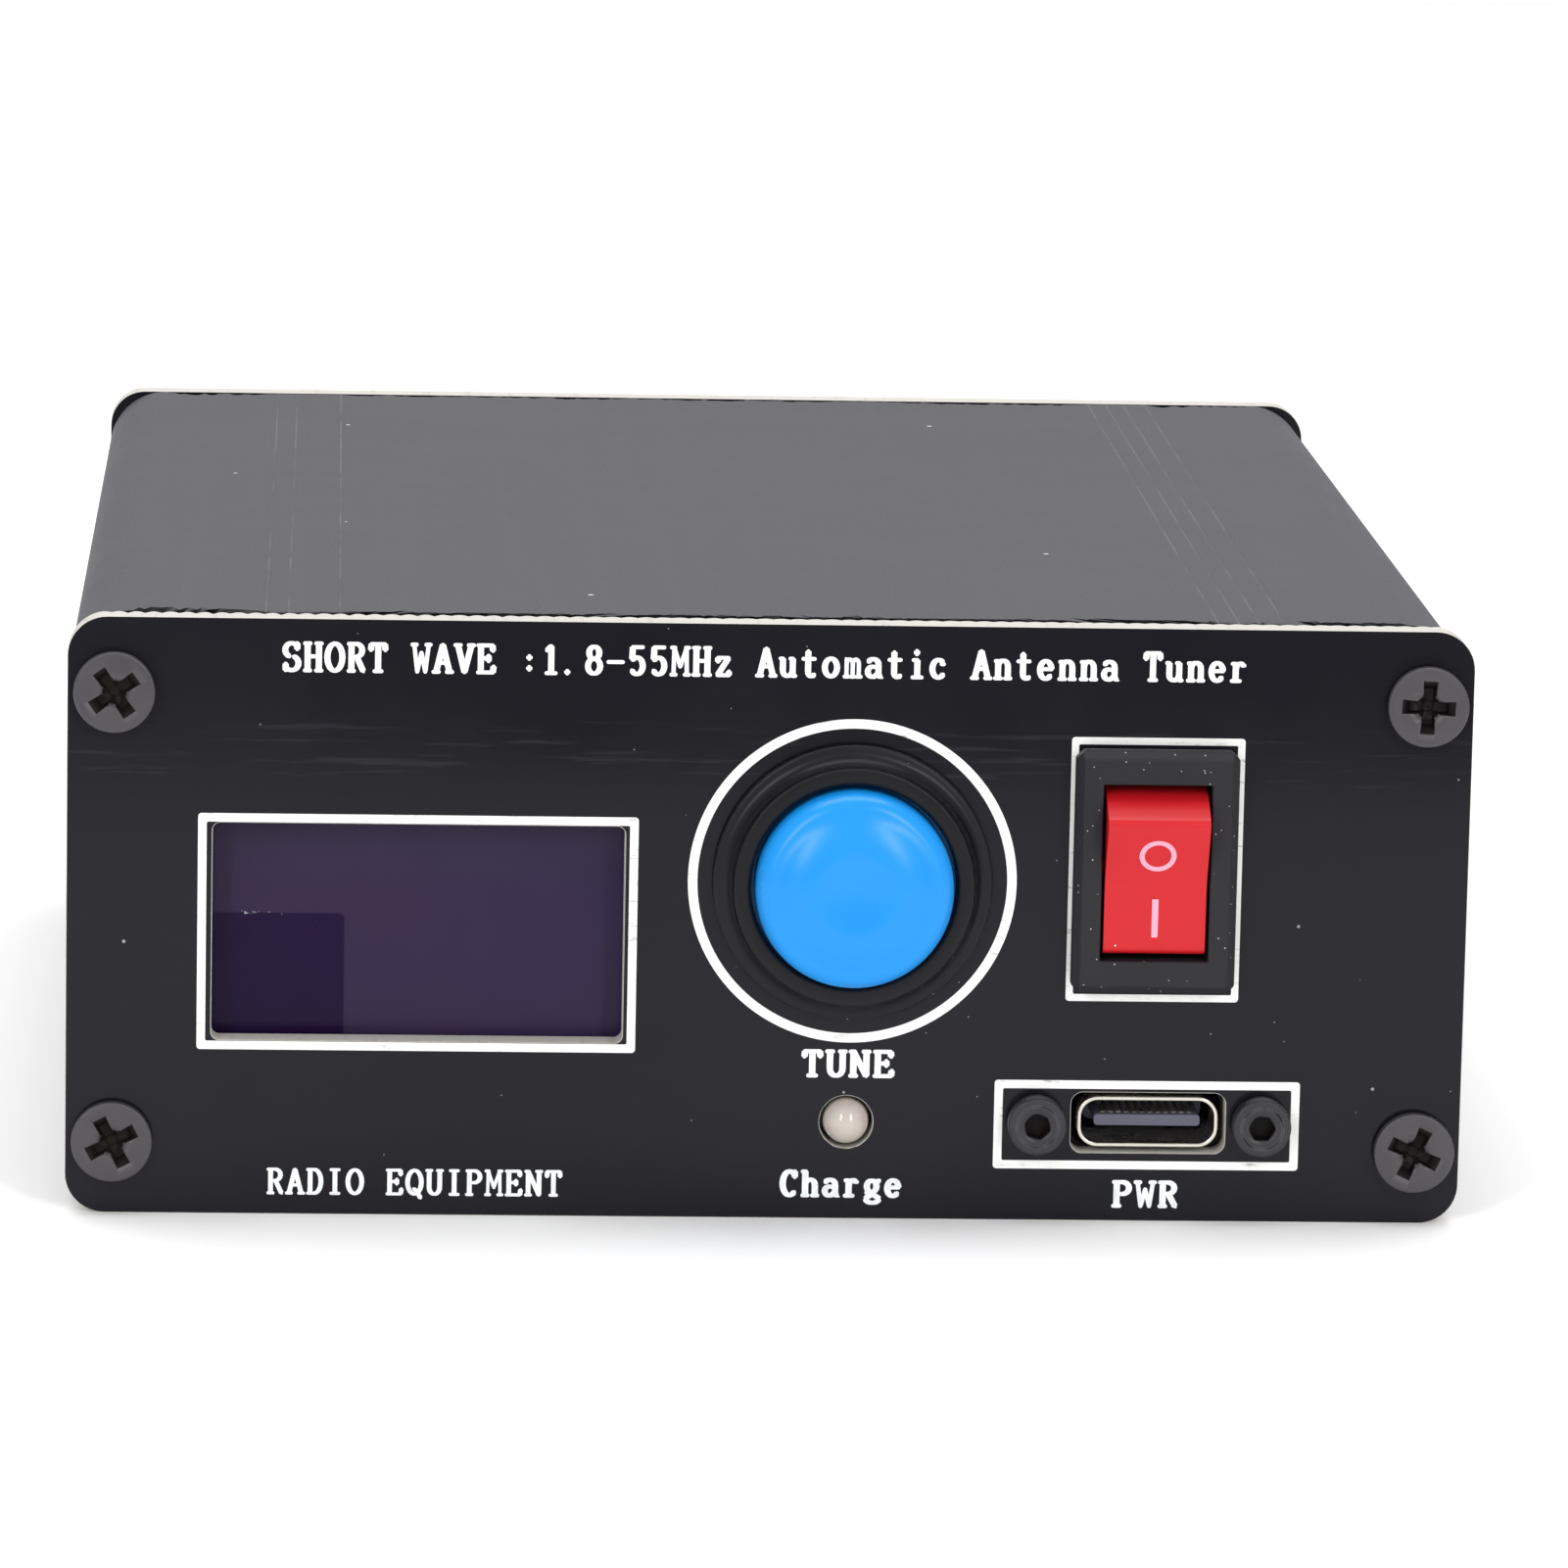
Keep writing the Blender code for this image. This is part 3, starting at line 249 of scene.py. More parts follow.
def hand_over(thing, body, finish, slot, *nodes):
    """Give a piece its surface and body, and let it stand for its CAD nodes."""
    if finish is not None:
        thing.data.materials.clear()
        thing.data.materials.append(finish)
    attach(thing, body)
    if nodes:
        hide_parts(*nodes)
    return thing


def refine(node, finish, width=0.15 * MM, segments=2):
    """Keep a CAD node's shape, with welded, softened edges and a finished surface."""
    thing = frame["nodes"][node]
    weld = thing.modifiers.new("weld", "WELD")
    weld.merge_threshold = 0.001 * MM
    if width:
        soften(thing, width, segments)
    thing.data.materials.clear()
    thing.data.materials.append(finish)
    return thing


# ------------------------------------------------- shader node groups


class Wiring:
    """Short forms for adding and joining shader nodes in one tree."""

    def __init__(self, tree):
        self.tree = tree

    def add(self, kind, **settings):
        node = self.tree.nodes.new(kind)
        for name, value in settings.items():
            setattr(node, name, value)
        return node

    def feed(self, socket, value):
        if isinstance(value, bpy.types.NodeSocket):
            self.tree.links.new(value, socket)
        else:
            socket.default_value = value

    def math(self, operation, first, second=0.0, clamp=False):
        node = self.add("ShaderNodeMath", operation=operation, use_clamp=clamp)
        self.feed(node.inputs[0], first)
        self.feed(node.inputs[1], second)
        return node.outputs[0]

    def between(self, value, low, high, to_low=0.0, to_high=1.0, smooth=True):
        node = self.add("ShaderNodeMapRange")
        node.interpolation_type = "SMOOTHSTEP" if smooth else "LINEAR"
        for socket, given in zip(node.inputs[:5], (value, low, high, to_low, to_high)):
            self.feed(socket, given)
        return node.outputs[0]

    def mix(self, amount, first, second):
        node = self.add("ShaderNodeMix", data_type="RGBA")
        self.feed(node.inputs[0], amount)
        self.feed(node.inputs[6], first)
        self.feed(node.inputs[7], second)
        return node.outputs[2]

    def noise(self, place, scale, detail=2.0, roughness=0.5):
        node = self.add("ShaderNodeTexNoise")
        self.feed(node.inputs["Vector"], place)
        self.feed(node.inputs["Scale"], scale)
        node.inputs["Detail"].default_value = detail
        node.inputs["Roughness"].default_value = roughness
        return node.outputs["Fac"]

    def bump(self, height, strength, depth):
        node = self.add("ShaderNodeBump")
        self.feed(node.inputs["Strength"], strength)
        self.feed(node.inputs["Distance"], depth)
        self.feed(node.inputs["Height"], height)
        return node.outputs["Normal"]

    def near(self, value, centre, reach):
        """One where the value lies within reach of the centre."""
        near = self.math("COMPARE", value, centre)
        near.node.inputs[2].default_value = reach
        return near

    def parts(self, vector):
        """A vector's X, Y and Z."""
        node = self.add("ShaderNodeSeparateXYZ")
        self.feed(node.inputs[0], vector)
        return node.outputs

    def cloud(self, tone, other, scale, smooth, rough):
        """Slow patches between two colours and two roughnesses."""
        return self.group(
            CLOUD, Colour=tone, Other_colour=other, Scale=scale, Smooth=smooth, Rough=rough
        )

    def place(self, stretch=(1.0, 1.0, 1.0), turn=(0.0, 0.0, 0.0), shift=(0.0, 0.0, 0.0)):
        coords = self.add("ShaderNodeTexCoord")
        node = self.add("ShaderNodeMapping")
        self.feed(node.inputs["Vector"], coords.outputs["Object"])
        node.inputs["Location"].default_value = shift
        node.inputs["Rotation"].default_value = turn
        node.inputs["Scale"].default_value = stretch
        return node.outputs["Vector"]

    def group(self, tree, **values):
        node = self.add("ShaderNodeGroup", node_tree=tree)
        for name, value in values.items():
            self.feed(node.inputs[name.replace("_", " ")], value)
        return node.outputs


def new_group(name, inputs, outputs):
    """An empty node group with named sockets; returns its wiring, inputs and output node."""
    tree = bpy.data.node_groups.new(name, "ShaderNodeTree")
    kinds = {"float": "NodeSocketFloat", "colour": "NodeSocketColor", "vector": "NodeSocketVector"}
    for label, kind, default in inputs:
        socket = tree.interface.new_socket(label, in_out="INPUT", socket_type=kinds[kind])
        if default is not None:
            socket.default_value = default
    for label, kind in outputs:
        tree.interface.new_socket(label, in_out="OUTPUT", socket_type=kinds[kind])
    wiring = Wiring(tree)
    given = wiring.add("NodeGroupInput").outputs
    result = wiring.add("NodeGroupOutput").inputs
    return tree, wiring, given, result


def make_grain():
    """Fine relief all over: gives a normal and the height it came from."""
    inputs = [("Scale", "float", 4000.0), ("Strength", "float", 0.2), ("Depth", "float", 0.02 * MM)]
    outputs = [("Normal", "vector"), ("Height", "float")]
    tree, w, given, result = new_group("fine_grain", inputs, outputs)
    height = w.noise(w.place(), given["Scale"], detail=3.0, roughness=0.6)
    w.feed(result["Normal"], w.bump(height, given["Strength"], given["Depth"]))
    w.feed(result["Height"], height)
    return tree


def make_cloud():
    """Slow patches of tone, between two colours and two roughnesses."""
    inputs = [
        ("Colour", "colour", None),
        ("Other colour", "colour", None),
        ("Scale", "float", 60.0),
        ("Smooth", "float", 0.3),
        ("Rough", "float", 0.5),
    ]
    outputs = [("Colour", "colour"), ("Roughness", "float"), ("Mask", "float")]
    tree, w, given, result = new_group("cloudy_tone", inputs, outputs)
    slow = w.noise(w.place(), given["Scale"], detail=4.0, roughness=0.62)
    mask = w.between(slow, 0.32, 0.68)
    w.feed(result["Colour"], w.mix(mask, given["Colour"], given["Other colour"]))
    w.feed(result["Roughness"], w.between(slow, 0.3, 0.7, given["Smooth"], given["Rough"]))
    w.feed(result["Mask"], mask)
    return tree


def make_specks():
    """Sparse dust grains: white where one lies."""
    inputs = [("Scale", "float", 500.0), ("Radius", "float", 0.12), ("Share", "float", 0.1)]
    tree, w, given, result = new_group("dust_specks", inputs, [("Mask", "float")])
    cells = w.add("ShaderNodeTexVoronoi")
    w.feed(cells.inputs["Vector"], w.place())
    w.feed(cells.inputs["Scale"], given["Scale"])
    near = w.math("LESS_THAN", cells.outputs["Distance"], given["Radius"])
    parts = w.add("ShaderNodeSeparateColor")
    w.feed(parts.inputs[0], cells.outputs["Color"])
    chosen = w.math("LESS_THAN", parts.outputs[0], given["Share"])
    w.feed(result["Mask"], w.math("MULTIPLY", near, chosen))
    return tree


def make_edge_wear():
    """Bright rims: white along the piece's convex edges, broken up by noise."""
    inputs = [("Radius", "float", 0.15 * MM), ("Breakup", "float", 900.0)]
    tree, w, given, result = new_group("edge_wear", inputs, [("Mask", "float")])
    rounded = w.add("ShaderNodeBevel", samples=4)
    w.feed(rounded.inputs["Radius"], given["Radius"])
    true = w.add("ShaderNodeNewGeometry")
    dot = w.add("ShaderNodeVectorMath", operation="DOT_PRODUCT")
    w.feed(dot.inputs[0], rounded.outputs["Normal"])
    w.feed(dot.inputs[1], true.outputs["Normal"])
    rim = w.between(dot.outputs["Value"], 0.995, 0.9)
    broken = w.between(w.noise(w.place(), given["Breakup"], detail=3.0), 0.35, 0.6)
    w.feed(result["Mask"], w.math("MULTIPLY", rim, broken))
    return tree


GRAIN = make_grain()
CLOUD = make_cloud()
SPECKS = make_specks()
EDGE_WEAR = make_edge_wear()

# ---------------------------------------------------------- surfaces


def colour(red, green, blue):
    return (red, green, blue, 1.0)


DUST = colour(0.62, 0.6, 0.58)


class Surface(Wiring):
    """A Principled material whose sockets are filled by name."""

    def __init__(self, name, **sockets):
        self.material = bpy.data.materials.new(name)
        self.material.use_nodes = True
        super().__init__(self.material.node_tree)
        self.shader = self.tree.nodes["Principled BSDF"]
        self.set(**sockets)

    def set(self, **sockets):
        for name, value in sockets.items():
            self.feed(self.shader.inputs[name.replace("_", " ")], value)


def moulded(
    name, tone, other, smooth, rough, grain=(5000.0, 0.25), dust=0.06, dust_size=(1800.0, 0.12), **sockets
):
    """Moulded plastic: slow tone patches, a fine spark-eroded grain and a little dust."""
    made = Surface(name, **sockets)
    base = made.cloud(tone, other, 90.0, smooth, rough)
    specks = made.group(SPECKS, Scale=dust_size[0], Radius=dust_size[1], Share=dust)
    relief = made.group(GRAIN, Scale=grain[0], Strength=grain[1])
    made.set(
        Base_Color=made.mix(specks["Mask"], base["Colour"], DUST),
        Roughness=base["Roughness"],
        Normal=relief["Normal"],
    )
    return made.material


def plated(name, tone, worn, smooth, rough, wear=0.12 * MM, metallic=1.0, grain=(2500.0, 0.12)):
    """Plated or bare metal: cloudy plating, brighter rims and fine tool marks."""
    made = Surface(name, Metallic=metallic)
    base = made.cloud(tone, tone, 300.0, smooth, rough)
    rim = made.group(EDGE_WEAR, Radius=wear)
    relief = made.group(GRAIN, Scale=grain[0], Strength=grain[1])
    made.set(
        Base_Color=made.mix(rim["Mask"], base["Colour"], worn),
        Roughness=base["Roughness"],
        Normal=relief["Normal"],
    )
    return made.material


# Where the extrusion die left fine lines along the flat, measured from the middle
DIE_LINES = (-31.7 * MM, -30.3 * MM, -27.1 * MM, 28.0 * MM, 29.3 * MM, 30.6 * MM, 32.2 * MM)


def make_anodised():
    """Sand-blasted black anodising: fine sparkle, die lines and dust, with painted shade: the cut end faces
    are painted near black.
    """
    made = Surface("black_anodised_aluminium", Metallic=0.0, IOR=1.5, Specular_IOR_Level=0.27)
    base = made.cloud(colour(0.050, 0.0495, 0.058), colour(0.058, 0.0575, 0.067), 45.0, 0.5, 0.58)
    sparkle = made.noise(made.place(), 6500.0, detail=2.0, roughness=0.7)
    bright = made.between(sparkle, 0.45, 0.8)
    toned = made.mix(bright, base["Colour"], colour(0.105, 0.104, 0.118))
    streaks = made.noise(made.place(stretch=(1.0, 0.02, 1.0)), 700.0, detail=2.0)
    drawn = made.mix(made.between(streaks, 0.5, 0.9, 0.0, 0.35), toned, colour(0.074, 0.073, 0.084))
    spot = made.parts(made.place())
    scored = 0.0
    for across in DIE_LINES:
        scored = made.math("MAXIMUM", made.near(spot["X"], across, 0.055 * MM), scored)
    broken = made.between(made.noise(made.place(), 150.0, detail=3.0), 0.4, 0.65, 0.1, 0.7)
    drawn = made.mix(made.math("MULTIPLY", scored, broken), drawn, colour(0.14, 0.14, 0.15))
    # Painted shade: faces turned towards the case's ends are painted near black, standing in for the shadow
    # in the gap behind the panels.
    facing = made.parts(made.add("ShaderNodeNewGeometry").outputs["True Normal"])
    cut = made.math("GREATER_THAN", made.math("ABSOLUTE", facing["Y"]), 0.2)
    drawn = made.mix(cut, drawn, colour(0.003, 0.003, 0.0035))
    specks = made.group(SPECKS, Scale=260.0, Radius=0.05, Share=0.09)
    blasted = made.noise(made.place(), 5200.0, detail=3.0, roughness=0.7)
    made.set(
        Base_Color=made.mix(specks["Mask"], drawn, DUST),
        Roughness=base["Roughness"],
        Normal=made.bump(blasted, 0.45, 0.03 * MM),
    )
    return made.material


def make_solder_mask():
    """Glossy black mask over a copper pour: orange peel, level ripples and dust, with a painted reflection:
    lighter streaks in a level band across the upper face.
    """
    made = Surface("black_solder_mask", IOR=1.42, Specular_IOR_Level=0.24)
    base = made.cloud(colour(0.0070, 0.0066, 0.0098), colour(0.0092, 0.0086, 0.0122), 35.0, 0.1, 0.16)
    specks = made.group(SPECKS, Scale=420.0, Radius=0.045, Share=0.16)
    fine = made.group(SPECKS, Scale=1500.0, Radius=0.06, Share=0.05)
    dust = made.math("MAXIMUM", specks["Mask"], fine["Mask"])
    # Painted reflection: lighter streaks in a band about 30 mm up the face stand in for the reflected
    # wrinkled edge of the floor sheet in front.
    reflection_band = made.near(made.parts(made.place())["Z"], 29.8 * MM, 1.9 * MM)
    reflected_wrinkles = made.noise(made.place(stretch=(0.045, 1.0, 1.0)), 2300.0, detail=3.0, roughness=0.6)
    streaks = made.math("MULTIPLY", made.between(reflected_wrinkles, 0.56, 0.7), reflection_band)
    toned = made.mix(streaks, base["Colour"], colour(0.017, 0.016, 0.021))
    ripples = made.noise(made.place(stretch=(0.12, 1.0, 1.0)), 900.0, detail=3.0, roughness=0.6)
    peel = made.noise(made.place(), 1400.0, detail=1.0)
    height = made.math("ADD", made.math("MULTIPLY", ripples, 0.6), made.math("MULTIPLY", peel, 0.4))
    made.set(
        Base_Color=made.mix(dust, toned, colour(0.3, 0.29, 0.31)),
        Roughness=made.math("ADD", base["Roughness"], made.math("MULTIPLY", dust, 0.4)),
        Normal=made.bump(height, 0.12, 0.02 * MM),
    )
    return made.material


def make_board_edge():
    """Routed glass-fibre edge: cream resin with woven layers and cutter marks."""
    made = Surface("glass_fibre_edge", Roughness=0.7)
    layers = made.noise(made.place(stretch=(0.08, 1.0, 0.08)), 9000.0, detail=3.0)
    marks = made.noise(made.place(stretch=(1.0, 0.1, 1.0)), 1600.0, detail=2.0)
    tone = made.mix(layers, colour(0.44, 0.42, 0.385), colour(0.64, 0.62, 0.575))
    tone = made.mix(made.between(marks, 0.55, 0.8, 0.0, 0.4), tone, colour(0.3, 0.285, 0.27))
    relief = made.group(GRAIN, Scale=3500.0, Strength=0.5)
    made.set(Base_Color=tone, Normal=relief["Normal"])
    return made.material


def make_tin():
    """Levelled tin over bare copper, pale and matt, with thin grey streaks and scuffs."""
    made = Surface("levelled_tin", Metallic=0.1)
    base = made.cloud(colour(0.93, 0.93, 0.91), colour(0.86, 0.86, 0.84), 420.0, 0.38, 0.55)
    scuffs = made.noise(made.place(stretch=(0.2, 1.0, 1.0)), 2600.0, detail=3.0, roughness=0.7)
    worn = made.math("MULTIPLY", made.between(scuffs, 0.57, 0.68), base["Mask"])
    relief = made.group(GRAIN, Scale=1100.0, Strength=0.25, Depth=0.04 * MM)
    made.set(
        Base_Color=made.mix(worn, base["Colour"], colour(0.42, 0.41, 0.4)),
        Roughness=base["Roughness"],
        Normal=relief["Normal"],
    )
    return made.material


def make_ink():
    """White epoxy marking ink with pinholes."""
    made = Surface("white_marking_ink", Roughness=0.55)
    base = made.cloud(colour(0.9, 0.91, 0.92), colour(0.74, 0.76, 0.78), 900.0, 0.5, 0.65)
    relief = made.group(GRAIN, Scale=6000.0, Strength=0.4)
    made.set(Base_Color=base["Colour"], Roughness=base["Roughness"], Normal=relief["Normal"])
    return made.material


def make_display_glass():
    """Dark violet panel under its film: an unlit field, a darker tab and specks along its rim."""
    low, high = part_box("display_glass")
    made = Surface("display_glass", IOR=1.45, Specular_IOR_Level=0.12)
    across, _, up = made.parts(made.place())
    right = made.between(across, low.x, high.x, smooth=False)
    rise = made.between(up, low.z, high.z, smooth=False)
    warm = made.between(made.noise(made.place(), 55.0, detail=1.0), 0.35, 0.65)
    field = made.mix(right, colour(0.030, 0.0175, 0.048), colour(0.025, 0.0168, 0.054))
    field = made.mix(made.math("MULTIPLY", warm, 0.5), field, colour(0.035, 0.0175, 0.048))
    field = made.mix(made.between(rise, 0.55, 0.95), field, colour(0.027, 0.022, 0.046))
    corner = 0.35 * MM
    tab_right = WINDOW.x - 4.6 * MM - corner
    tab_top = WINDOW.z + 0.75 * MM - corner
    beyond_side = made.math("MAXIMUM", made.math("SUBTRACT", across, tab_right), 0.0)
    beyond_top = made.math("MAXIMUM", made.math("SUBTRACT", up, tab_top), 0.0)
    squares = made.math(
        "ADD",
        made.math("MULTIPLY", beyond_side, beyond_side),
        made.math("MULTIPLY", beyond_top, beyond_top),
    )
    reach = made.math("SQRT", squares)
    inside = made.between(reach, corner + 0.05 * MM, corner - 0.05 * MM)
    toned = made.mix(inside, field, colour(0.010, 0.0025, 0.027))
    along = made.near(up, tab_top + corner, 0.1 * MM)
    start = made.math("GREATER_THAN", across, WINDOW.x - 11.4 * MM)
    end = made.math("LESS_THAN", across, WINDOW.x - 7.9 * MM)
    grit = made.math("GREATER_THAN", made.noise(made.place(), 5200.0, detail=1.0), 0.68)
    rim = made.math("MULTIPLY", made.math("MULTIPLY", along, grit), made.math("MULTIPLY", start, end))
    specks = made.group(SPECKS, Scale=700.0, Radius=0.05, Share=0.06)
    relief = made.group(GRAIN, Scale=400.0, Strength=0.05)
    made.set(
        Base_Color=made.mix(made.math("MAXIMUM", rim, specks["Mask"]), toned, colour(0.3, 0.3, 0.36)),
        Roughness=made.between(made.noise(made.place(), 240.0, detail=4.0), 0.3, 0.7, 0.12, 0.28),
        Normal=relief["Normal"],
    )
    return made.material


def make_circuit_board(name, tone):
    """Solder mask over tracks: straight copper runs show a little lighter."""
    made = Surface(name, Roughness=0.3, IOR=1.5)
    bricks = made.add("ShaderNodeTexBrick")
    made.feed(bricks.inputs["Vector"], made.place(turn=(0.0, 0.0, 0.0)))
    bricks.inputs["Scale"].default_value = 260.0
    bricks.inputs["Mortar Size"].default_value = 0.03
    dark = tuple(c * 0.55 for c in tone[:3]) + (1.0,)
    tracks = made.mix(bricks.outputs["Fac"], tone, dark)
    base = made.cloud(tracks, tone, 80.0, 0.25, 0.4)
    relief = made.group(GRAIN, Scale=1800.0, Strength=0.15)
    made.set(Base_Color=base["Colour"], Roughness=base["Roughness"], Normal=relief["Normal"])
    return made.material


def make_milky_lens():
    made = Surface(
        "milky_lens",
        Subsurface_Weight=0.35,
        Subsurface_Scale=0.6 * MM,
        Coat_Weight=0.6,
        Coat_Roughness=0.06,
        IOR=1.5,
    )
    base = made.cloud(colour(0.59, 0.525, 0.475), colour(0.52, 0.46, 0.42), 500.0, 0.18, 0.3)
    relief = made.group(GRAIN, Scale=1500.0, Strength=0.06)
    made.set(Base_Color=base["Colour"], Roughness=base["Roughness"], Normal=relief["Normal"])
    return made.material


WINDOW = Vector((middle("display_board").x, PANEL_LOW.y, middle("display_board").z))

ANODISED = make_anodised()
SOLDER_MASK = make_solder_mask()
BOARD_EDGE = make_board_edge()
TIN = make_tin()
INK = make_ink()
DISPLAY_GLASS = make_display_glass()
GREEN_BOARD = make_circuit_board("green_circuit_board", colour(0.015, 0.13, 0.055))
BLUE_BOARD = make_circuit_board("blue_circuit_board", colour(0.015, 0.045, 0.2))
MILKY_LENS = make_milky_lens()
BLACK_NYLON = moulded(
    "black_nylon", colour(0.0135, 0.013, 0.016), colour(0.0175, 0.0165, 0.020), 0.45, 0.6,
    grain=(4200.0, 0.4), dust=0.3, dust_size=(2600.0, 0.1), Specular_IOR_Level=0.26,
)
SATIN_BLACK = moulded(
    "satin_black_plastic", colour(0.0036, 0.0034, 0.0052), colour(0.005, 0.0047, 0.007), 0.3, 0.4,
    grain=(3000.0, 0.1), dust=0.03, dust_size=(2600.0, 0.1), Specular_IOR_Level=0.25,
)
BLUE_PLASTIC = moulded(
    "blue_plastic", colour(0.005, 0.256, 0.72), colour(0.007, 0.27, 0.75), 0.26, 0.33,
    grain=(2600.0, 0.05), dust=0.006, Specular_IOR_Level=0.32,
)
RED_PLASTIC = moulded(
    "red_plastic", colour(0.525, 0.0085, 0.014), colour(0.56, 0.0095, 0.0155), 0.32, 0.42,
    grain=(2600.0, 0.08), dust=0.008, Specular_IOR_Level=0.31,
)
PINK_WHITE = moulded(
    "pad_printed_marks", colour(0.86, 0.33, 0.45), colour(0.9, 0.38, 0.5), 0.4, 0.5, dust=0.0
)
TONGUE_PLASTIC = moulded(
    "port_tongue_plastic", colour(0.075, 0.075, 0.115), colour(0.10, 0.10, 0.145), 0.4, 0.55,
    grain=(3800.0, 0.5), dust=0.1,
)
WHITE_INSULATOR = moulded(
    "white_insulator", colour(0.82, 0.82, 0.79), colour(0.74, 0.73, 0.69), 0.38, 0.55, dust=0.02
)
RELAY_PLASTIC = moulded(
    "relay_plastic", colour(0.016, 0.026, 0.07), colour(0.022, 0.033, 0.085), 0.35, 0.5
)
IRON_COATING = moulded(
    "powdered_iron", colour(0.42, 0.045, 0.03), colour(0.5, 0.06, 0.04), 0.45, 0.6, dust=0.0
)
FERRITE = moulded(
    "ferrite", colour(0.045, 0.045, 0.05), colour(0.06, 0.06, 0.064), 0.6, 0.75, grain=(3500.0, 0.6)
)
CHIP_EPOXY = moulded("chip_epoxy", colour(0.018, 0.018, 0.02), colour(0.026, 0.026, 0.027), 0.6, 0.7)
BLACK_STEEL = plated(
    "black_zinc", colour(0.062, 0.058, 0.062), colour(0.2, 0.19, 0.19), 0.34, 0.5, wear=0.07 * MM,
    metallic=0.35,
)
BLACK_OXIDE = plated(
    "black_oxide", colour(0.022, 0.021, 0.025), colour(0.16, 0.155, 0.16), 0.34, 0.5, wear=0.08 * MM,
    metallic=0.2,
)
# Painted shade: the screws' driver recesses are painted near black, standing in for the shade inside them.
DARK_RECESS = moulded(
    "oiled_recess", colour(0.006, 0.0045, 0.0045), colour(0.011, 0.008, 0.007), 0.35, 0.5, dust=0.02,
    Specular_IOR_Level=0.1,
)
NICKEL = plated("nickel_plate", colour(0.66, 0.63, 0.56), colour(0.8, 0.78, 0.72), 0.2, 0.36)
TINNED_BRASS = plated(
    "tinned_brass", colour(0.68, 0.64, 0.55), colour(0.72, 0.55, 0.28), 0.25, 0.45
)
SPRING_STEEL = plated("spring_steel", colour(0.46, 0.46, 0.47), colour(0.6, 0.6, 0.6), 0.2, 0.35)
ENAMELLED_COPPER = plated(
    "enamelled_copper", colour(0.6, 0.2, 0.08), colour(0.75, 0.33, 0.15), 0.2, 0.3
)
FOIL = plated("battery_foil", colour(0.62, 0.62, 0.63), colour(0.75, 0.75, 0.76), 0.25, 0.45)

# -------------------------------------------------------------- case

CASE_CORNER = 4.0 * MM
CASE_WALL = 1.8 * MM
LAP_HEIGHT = 0.8 * MM
RIB_DEPTH = 1.5 * MM
RIB_HEIGHT = 1.2 * MM
BOSS_WALL = 1.1 * MM
BOSS_SLIT = 1.2 * MM
SHANK_R = 1.4 * MM
SCREW_X = middle("front_screw_upper_right").x
SCREW_LOW_Z = middle("front_screw_lower_right").z
DIE_LINE_DEPTH = 0.035 * MM
DIE_LINE_HALF = 0.09 * MM
CUT_STEP = 0.36 * MM
CUT_BITE = 1.5 * MM


def shell_side():
    """The inside of one wall, from the split down to the floor, and the slotted screw boss."""
    inner = WIDTH / 2 - CASE_WALL
    board_low, board_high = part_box("main_board")
    groove_low = board_low.z - SEAT
    groove_high = board_high.z + SEAT
    hole_r = SHANK_R + SEAT
    boss_r = hole_r + BOSS_WALL
    ribs = [
        (inner, groove_high + RIB_HEIGHT),
        (inner - RIB_DEPTH, groove_high + RIB_HEIGHT),
        (inner - RIB_DEPTH, groove_high),
        (inner, groove_high),
        (inner, groove_low),
        (inner - RIB_DEPTH, groove_low),
        (inner - RIB_DEPTH, groove_low - RIB_HEIGHT),
        (inner, groove_low - RIB_HEIGHT),
    ]
    meets_wall = math.degrees(math.acos((inner - SCREW_X) / boss_r))
    outer_slit = math.degrees(math.asin(BOSS_SLIT / 2 / boss_r))
    inner_slit = math.degrees(math.asin(BOSS_SLIT / 2 / hole_r))
    slit = 135.0
    foot = 250.0
    centre = (SCREW_X, SCREW_LOW_Z)
    before_slit = arc(*centre, boss_r, meets_wall, slit - outer_slit, 8)
    bore = arc(*centre, hole_r, slit - inner_slit, slit + inner_slit - 360.0, 28)
    after_slit = arc(*centre, boss_r, slit + outer_slit, foot, 10)
    floor = [(after_slit[-1][0], CASE_WALL)]
    return ribs + before_slit + bore + after_slit + floor


def shell_outline():
    """Half of the case seen from its end, its flat scored with the die's fine lines."""
    half = WIDTH / 2
    inner = half - CASE_WALL
    split = HEIGHT / 2 - SEAT / 2
    lap = half - CASE_WALL / 2
    corner = half - CASE_CORNER
    tongue = [
        (half, split),
        (lap - SEAT / 2, split),
        (lap - SEAT / 2, split + LAP_HEIGHT),
        (inner, split + LAP_HEIGHT),
    ]
    rebate = [
        (-inner, split - LAP_HEIGHT - SEAT),
        (-lap - SEAT / 2, split - LAP_HEIGHT - SEAT),
        (-lap - SEAT / 2, split),
        (-half, split),
    ]
    right = shell_side()
    left = [(-across, up) for across, up in reversed(right)]
    lines = []
    step = -corner + CUT_STEP
    while step < corner - CUT_STEP / 2:
        if all(abs(step - across) > 2 * DIE_LINE_HALF for across in DIE_LINES):
            lines.append((step, 0.0))
        step += CUT_STEP
    for across in DIE_LINES:
        lines += [
            (across - DIE_LINE_HALF, 0.0),
            (across, DIE_LINE_DEPTH),
            (across + DIE_LINE_HALF, 0.0),
        ]
    lines.sort()
    outside = arc(-corner, CASE_CORNER, CASE_CORNER, 180.0, 270.0, 20)
    outside += lines + arc(corner, CASE_CORNER, CASE_CORNER, 270.0, 360.0, 20)
    return tongue + right + left + rebate + outside


